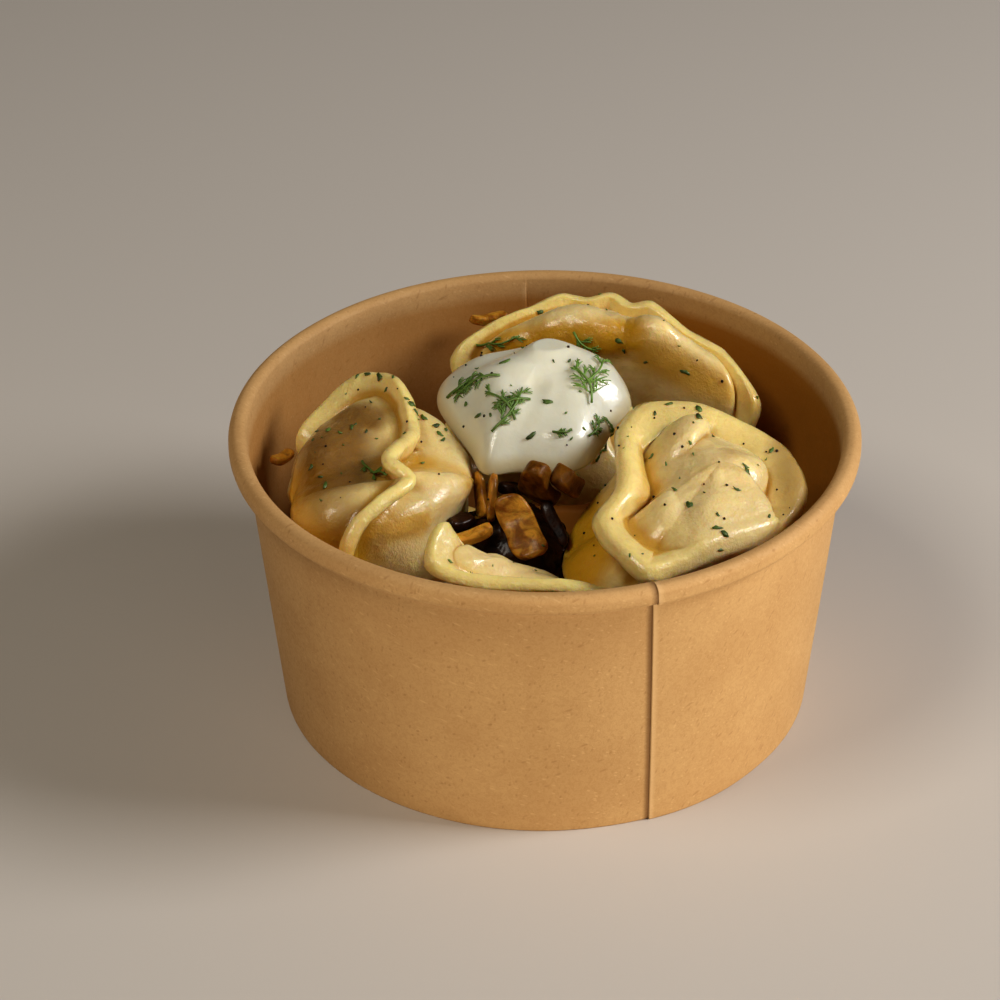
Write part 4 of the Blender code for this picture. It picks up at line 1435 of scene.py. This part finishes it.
@dataclass(frozen=True)
class Sprig:
    """A sprig of dill between two picture points, with side threads in millimetres."""

    root: tuple[float, float]
    tip: tuple[float, float]
    branches: int
    reach: float
    shade: float
    lift: float = 0.0005
    seed: int = 1

    def skin(self, table: Table) -> Skin:
        """The stem and its forked threads, laid on the food."""
        rng = random.Random(self.seed)
        first, last = table.seen(*self.root), table.seen(*self.tip)
        whole = Skin([], [], {"shade": []})
        if first is None or last is None:
            return whole
        start, normal = first
        way = last[0] - start
        side = way.cross(normal).normalized()
        stem = []
        for i in range(9):
            t = i / 8
            bow = side * (math.sin(math.pi * t) * way.length * 0.10)
            lift = self.lift + 0.0007 * math.sin(math.pi * t)
            stem.append(table.laid(start + way * t + bow, lift))
        self.take(whole, thread(stem, 0.00034, 0.00020), self.shade)
        for number in range(self.branches):
            t = 0.12 + 0.88 * (number + 0.5) / self.branches
            base = stem[min(8, int(t * 8 + 0.5))]
            hand = 1 if number % 2 else -1
            turn = math.radians(hand * rng.uniform(38, 62) * (1 - 0.45 * t))
            ahead = Matrix.Rotation(turn, 4, normal) @ way.normalized()
            length = self.reach / 1000 * rng.uniform(0.7, 1.1) * (1 - 0.35 * t)
            self.fork(whole, table, rng, base, ahead, normal, length)
        return whole

    def fork(
        self, whole: Skin, table: Table, rng: random.Random, base: Vector, ahead: Vector,
        normal: Vector, length: float,
    ) -> None:
        """Adds a side thread with its own finer threads."""
        for spread, share, start in ((0, 1.0, 0.0), (26, 0.6, 0.35), (-24, 0.62, 0.3), (15, 0.5, 0.6)):
            way = Matrix.Rotation(math.radians(spread + rng.uniform(-8, 8)), 4, normal) @ ahead
            line = []
            for i in range(6):
                t = i / 5
                rise = math.sin(math.pi * t)
                bow = ahead.cross(normal) * (length * 0.08 * rise * rng.choice((-1, 1)))
                point = base + ahead * (length * start) + way * (length * share * t)
                point += bow * (spread == 0)
                line.append(table.laid(point, self.lift + 0.0003 * rise))
            self.take(whole, thread(line, 0.00024, 0.00010), self.shade * rng.uniform(0.8, 1.15))

    @staticmethod
    def take(whole: Skin, part: Skin, shade: float) -> None:
        """Joins a part to the sprig in one shade."""
        part.shares["shade"] = [min(1.0, shade)] * len(part.points)
        whole.join(part)


SPRIGS = (
    Sprig((590, 404), (574, 368), 7, 6.0, 0.05, 0.0007, 1),
    Sprig((582, 385), (602, 361), 5, 5.0, 0.10, 0.0006, 2),
    Sprig((500, 376), (458, 396), 6, 4.5, 0.55, 0.0003, 3),
    Sprig((492, 432), (522, 388), 7, 5.0, 0.45, 0.0003, 4),
    Sprig((515, 420), (486, 392), 5, 4.0, 0.50, 0.0003, 5),
    Sprig((596, 462), (604, 418), 6, 4.0, 0.40, 0.0003, 6),
    Sprig((408, 362), (448, 384), 7, 5.0, 0.25, 0.0004, 7),
    Sprig((426, 388), (446, 366), 5, 4.5, 0.30, 0.0004, 8),
    Sprig((476, 345), (520, 336), 5, 4.0, 0.35, 0.0003, 9),
    Sprig((574, 332), (596, 350), 5, 4.5, 0.15, 0.0004, 10),
    Sprig((553, 432), (569, 432), 4, 2.0, 0.45, 0.0003, 11),
    Sprig((362, 462), (388, 474), 4, 3.0, 0.40, 0.0003, 12),
    Sprig((448, 398), (474, 378), 6, 4.5, 0.50, 0.0003, 13),
    Sprig((530, 400), (500, 410), 5, 4.5, 0.55, 0.0003, 14),
    Sprig((588, 436), (598, 420), 5, 3.5, 0.45, 0.0003, 15),
)

FLAKE_SPOTS = (
    (357, 376), (368, 374), (380, 378), (393, 377), (407, 399), (413, 404), (420, 402), (427, 408),
    (432, 413), (416, 412), (424, 418), (436, 426), (440, 434), (446, 430), (443, 440), (328, 430),
    (340, 433), (352, 427), (366, 432), (311, 468), (321, 477), (325, 485), (669, 404), (699, 409),
    (699, 417), (655, 414), (652, 456), (771, 451), (745, 466), (747, 472), (737, 490), (675, 490),
    (690, 505), (718, 515), (717, 528), (720, 550), (725, 534), (540, 312), (619, 341), (624, 351),
    (646, 362), (685, 372), (466, 404), (478, 416), (561, 432), (547, 402), (531, 436), (505, 362),
)


class Strewn:
    """Chopped dill and pepper strewn over the food by a seeded rule."""

    def __init__(self, table: Table) -> None:
        """Keeps the food's surface and the seeded draw."""
        self.table = table
        self.rng = random.Random(STREW_SEED)

    def flake(self, spot: Vector, normal: Vector, length: float, width: float, curl: float) -> Skin:
        """A torn leaf bit laid on the surface.

        Args:
            spot: its middle.
            normal: the surface's direction there.
            length: from end to end.
            width: across.
            curl: how far its ends lift off.

        Returns:
            The bit's thin closed skin.
        """
        rng = self.rng
        turn = rng.uniform(0, math.tau)
        side = normal.orthogonal().normalized()
        other = normal.cross(side)
        ahead = side * math.cos(turn) + other * math.sin(turn)
        beside = normal.cross(ahead)
        jag = [rng.uniform(0.55, 1.2) for _ in range(9)]

        def leaf(column: int, row: int) -> Vector:
            """The point at a column and row: row 0 is the top's middle, the last the underside's."""
            a = math.tau * column / 9
            reach = (0.0, 1.0, 0.96, 0.0)[row] * jag[column]
            along = length / 2 * reach * math.cos(a)
            flat = spot + ahead * along + beside * (width / 2 * reach * math.sin(a))
            lift = (0.00028, 0.00016, 0.00004, 0.00002)[row] + curl * (2 * along / length) ** 2
            return self.table.laid(flat, lift)

        return wrapped(9, 4, leaf)

    def herbs(self, extra: int) -> Skin:
        """Flakes at their places in the picture, and more over all the open food."""
        rng = self.rng
        whole = Skin([], [], {"shade": []})
        found = [self.table.seen(*spot) for spot in FLAKE_SPOTS]
        found = [(hit, rng.uniform(0.0016, 0.0030)) for hit in found if hit]
        for _ in range(extra):
            a, reach = rng.uniform(0, math.tau), STREW_REACH * math.sqrt(rng.random())
            hit = self.table.below(reach * math.cos(a), reach * math.sin(a))
            if hit and hit[1].z > 0.45 and hit[0].z > FLAKE_LOWEST:
                found.append((hit, rng.uniform(0.0006, 0.0016)))
        for (spot, normal), length in found:
            width = length * rng.uniform(0.35, 0.65)
            part = self.flake(spot, normal, length, width, rng.uniform(0, 0.0004))
            part.shares["shade"] = [min(1.0, rng.uniform(0.35, 1.2))] * len(part.points)
            whole.join(part)
        return whole

    def pepper(self, count: int) -> Skin:
        """Coarse grains of pepper over the open dough."""
        rng = self.rng
        whole = Skin([], [], {"browned": []})
        for _ in range(count):
            a, reach = rng.uniform(0, math.tau), STREW_REACH * math.sqrt(rng.random())
            hit = self.table.below(reach * math.cos(a), reach * math.sin(a))
            if not hit or hit[1].z < 0.4 or hit[0].z < GRAIN_LOWEST:
                continue
            size = rng.uniform(0.00015, 0.00042)
            spot = hit[0] + hit[1] * (size * 0.3)
            shape = [rng.uniform(0.7, 1.25) for _ in range(5)]

            def grain(column: int, row: int) -> Vector:
                """The point at a column and row."""
                tilt = math.pi * (row / 4 - 0.5)
                turn = math.tau * column / 5
                flat = math.cos(tilt)
                way = Vector((flat * math.cos(turn), flat * math.sin(turn), math.sin(tilt)))
                return spot + way * (size * shape[(column + row) % 5])

            part = wrapped(5, 5, grain)
            part.shares["browned"] = [rng.random()] * len(part.points)
            whole.join(part)
        return whole


@dataclass(frozen=True)
class Lamp:
    """A rectangular soft light that is aimed at the food."""

    name: str
    place: tuple[float, float, float]
    size: tuple[float, float]
    power: float
    colour: Colour

    def build(self) -> None:
        """Adds the light to the scene."""
        data = bpy.data.lights.new(self.name, "AREA")
        data.shape = "RECTANGLE"
        data.size, data.size_y = self.size
        data.energy = self.power
        data.color = self.colour
        lamp = bpy.data.objects.new(self.name, data)
        lamp.location = self.place
        aim = Vector((0, 0, 0.05)) - Vector(self.place)
        lamp.rotation_euler = aim.to_track_quat("-Z", "Y").to_euler()
        bpy.context.scene.collection.objects.link(lamp)


LAMPS = (
    Lamp("key_light", (0.97, -0.09, 0.74), (0.45, 0.45), 10.0, (1.0, 0.98, 0.98)),
    Lamp("front_light", (0.55, -1.00, 0.05), (0.6, 0.1), 6.1, (1.0, 0.90, 0.76)),
    Lamp("left_light", (-0.95, -0.45, 0.06), (0.5, 0.08), 0.6, (1.0, 0.80, 0.56)),
    Lamp("upper_light", (-0.50, -0.36, 1.00), (0.4, 0.4), 3.9, (1.0, 0.93, 0.82)),
)


@dataclass(frozen=True)
class Studio:
    """A pale floor, soft light from the right and a faint warm sky."""

    floor_colour: Colour = (0.60, 0.56, 0.51)
    sky_colour: tuple = (1.0, 0.76, 0.55, 1)
    sky_strength: float = 0.02

    def build(self) -> None:
        """Makes the floor, the lamps and the sky."""
        scene = bpy.context.scene
        scene.view_settings.view_transform = "Standard"
        scene.view_settings.look = "Medium High Contrast"
        bpy.ops.mesh.primitive_grid_add(
            size=8, x_subdivisions=4, y_subdivisions=4, location=(0, 1.5, 0),
        )
        floor = bpy.context.object
        floor.name = "studio_floor"
        material, _, _ = new_material("studio_floor", Base_Color=self.floor_colour, Roughness=0.9)
        floor.data.materials.append(material)
        floor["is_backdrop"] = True
        for lamp in LAMPS:
            lamp.build()
        world = bpy.data.worlds.new("soft_sky")
        world.use_nodes = True
        sky = world.node_tree.nodes["Background"]
        sky.inputs["Color"].default_value = self.sky_colour
        sky.inputs["Strength"].default_value = self.sky_strength
        scene.world = world


@dataclass
class Food:
    """Everything in the bowl: builds the skins, settles them and dresses them."""

    groups: SharedGroups
    ceiling: float
    skins: dict[str, Skin] = field(default_factory=dict)

    def dough_relief(self, seed: int) -> Callable[[Vector], float]:
        """Swells and wrinkles of boiled dough, as a move out of the skin by place."""
        offset = Vector((seed * 5.7, seed * 1.3, 0))

        def relief(point: Vector) -> float:
            """The move at a point."""
            swell = noise.noise(point * 150 + offset) * 0.00035
            wrinkle = 1 - abs(noise.noise(point * 260 + offset)) * 2
            return swell + wrinkle * 0.00010 + noise.noise(point * 700 + offset) * 0.00005

        return relief

    def build(self, view: View) -> list[bpy.types.Object]:
        """Builds every piece of food.

        Args:
            view: the camera, for the herbs that are placed by picture points.

        Returns:
            The pieces.
        """
        all_dumplings = dumplings()
        soft = {"soured_cream": CreamDollop().skin()} | {d.name: d.skin() for d in all_dumplings}
        LOG.info("skins made")
        settle(list(soft.values()), [], CONTACT_GAP)
        LOG.info("dumplings settled")
        loose = {"mushroom_heap": MushroomHeap().skin()} | {m.name: m.skin() for m in MORSELS}
        settle(list(loose.values()), list(soft.values()), LOOSE_GAP, 2)
        LOG.info("fried pieces settled")
        for dumpling in all_dumplings:
            relieved(soft[dumpling.name], self.dough_relief(dumpling.seed))
        relieved(soft["soured_cream"], lambda p: noise.noise(p * 130) * 0.00030)
        self.skins = soft | loose
        for skin in self.skins.values():
            for point in skin.points:
                point.z = min(point.z, self.ceiling - CEILING_GAP)
        return self.dressed(all_dumplings) + self.strewn(view)

    def dressed(self, all_dumplings: list[Dumpling]) -> list[bpy.types.Object]:
        """Gives every skin its finish and has it stand for its solid."""
        finishes = {
            slot: finish.material(self.groups)
            for slot, finish in ({Slot.CREAM: CreamFinish()} | FRIED_FINISHES).items()
        }
        slots = {m.name: m.slot for m in MORSELS}
        slots |= {"soured_cream": Slot.CREAM, "mushroom_heap": Slot.DARK}
        fillings = {d.name: d.filling for d in all_dumplings}
        pieces = []
        for name, skin in self.skins.items():
            if name in fillings:
                slot = Slot.DOUGH
                place = name.removeprefix("dumpling_")
                finish = DoughFinish(name=f"boiled_dough_{place}", show_filling=fillings[name])
                material = finish.material(self.groups)
            else:
                slot = slots[name]
                material = finishes[slot]
            piece = skin.object(f"{name}_dressed", material)
            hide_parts(name)
            pieces.append(piece)
        return pieces

    def strewn(self, view: View) -> list[bpy.types.Object]:
        """The dill and the pepper."""
        table = Table(self.skins, view)
        strewn = Strewn(table)
        sprigs = Skin([], [], {"shade": []})
        for sprig in SPRIGS:
            sprigs.join(sprig.skin(table))
        herb = HerbFinish().material(self.groups)
        pepper = PEPPER_FINISH.material(self.groups)
        return [
            sprigs.object("dill_sprigs", herb),
            strewn.herbs(MORE_FLAKES).object("dill_flakes", herb),
            strewn.pepper(PEPPER_GRAINS).object("pepper_grains", pepper),
        ]


def main() -> None:
    """Builds the bowl, its food, the studio and the camera."""
    logging.basicConfig(level=logging.INFO, format="%(message)s")
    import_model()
    solid_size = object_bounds()
    noise.seed_set(NOISE_SEED)
    groups = SharedGroups()
    view = View()
    view.build()
    Studio().build()
    pieces = [PaperBowl().build(PaperFinish().material(groups))]
    pieces += Food(groups, solid_size[1][2]).build(view)
    for piece in pieces:
        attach(piece, "root")
        LOG.info("%s: %d faces", piece.name, len(piece.data.polygons))
    sizes = {"solids": solid_size, "visual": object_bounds()}
    plain = {key: [list(map(float, corner)) for corner in box] for key, box in sizes.items()}


if __name__ == "__main__":
    main()
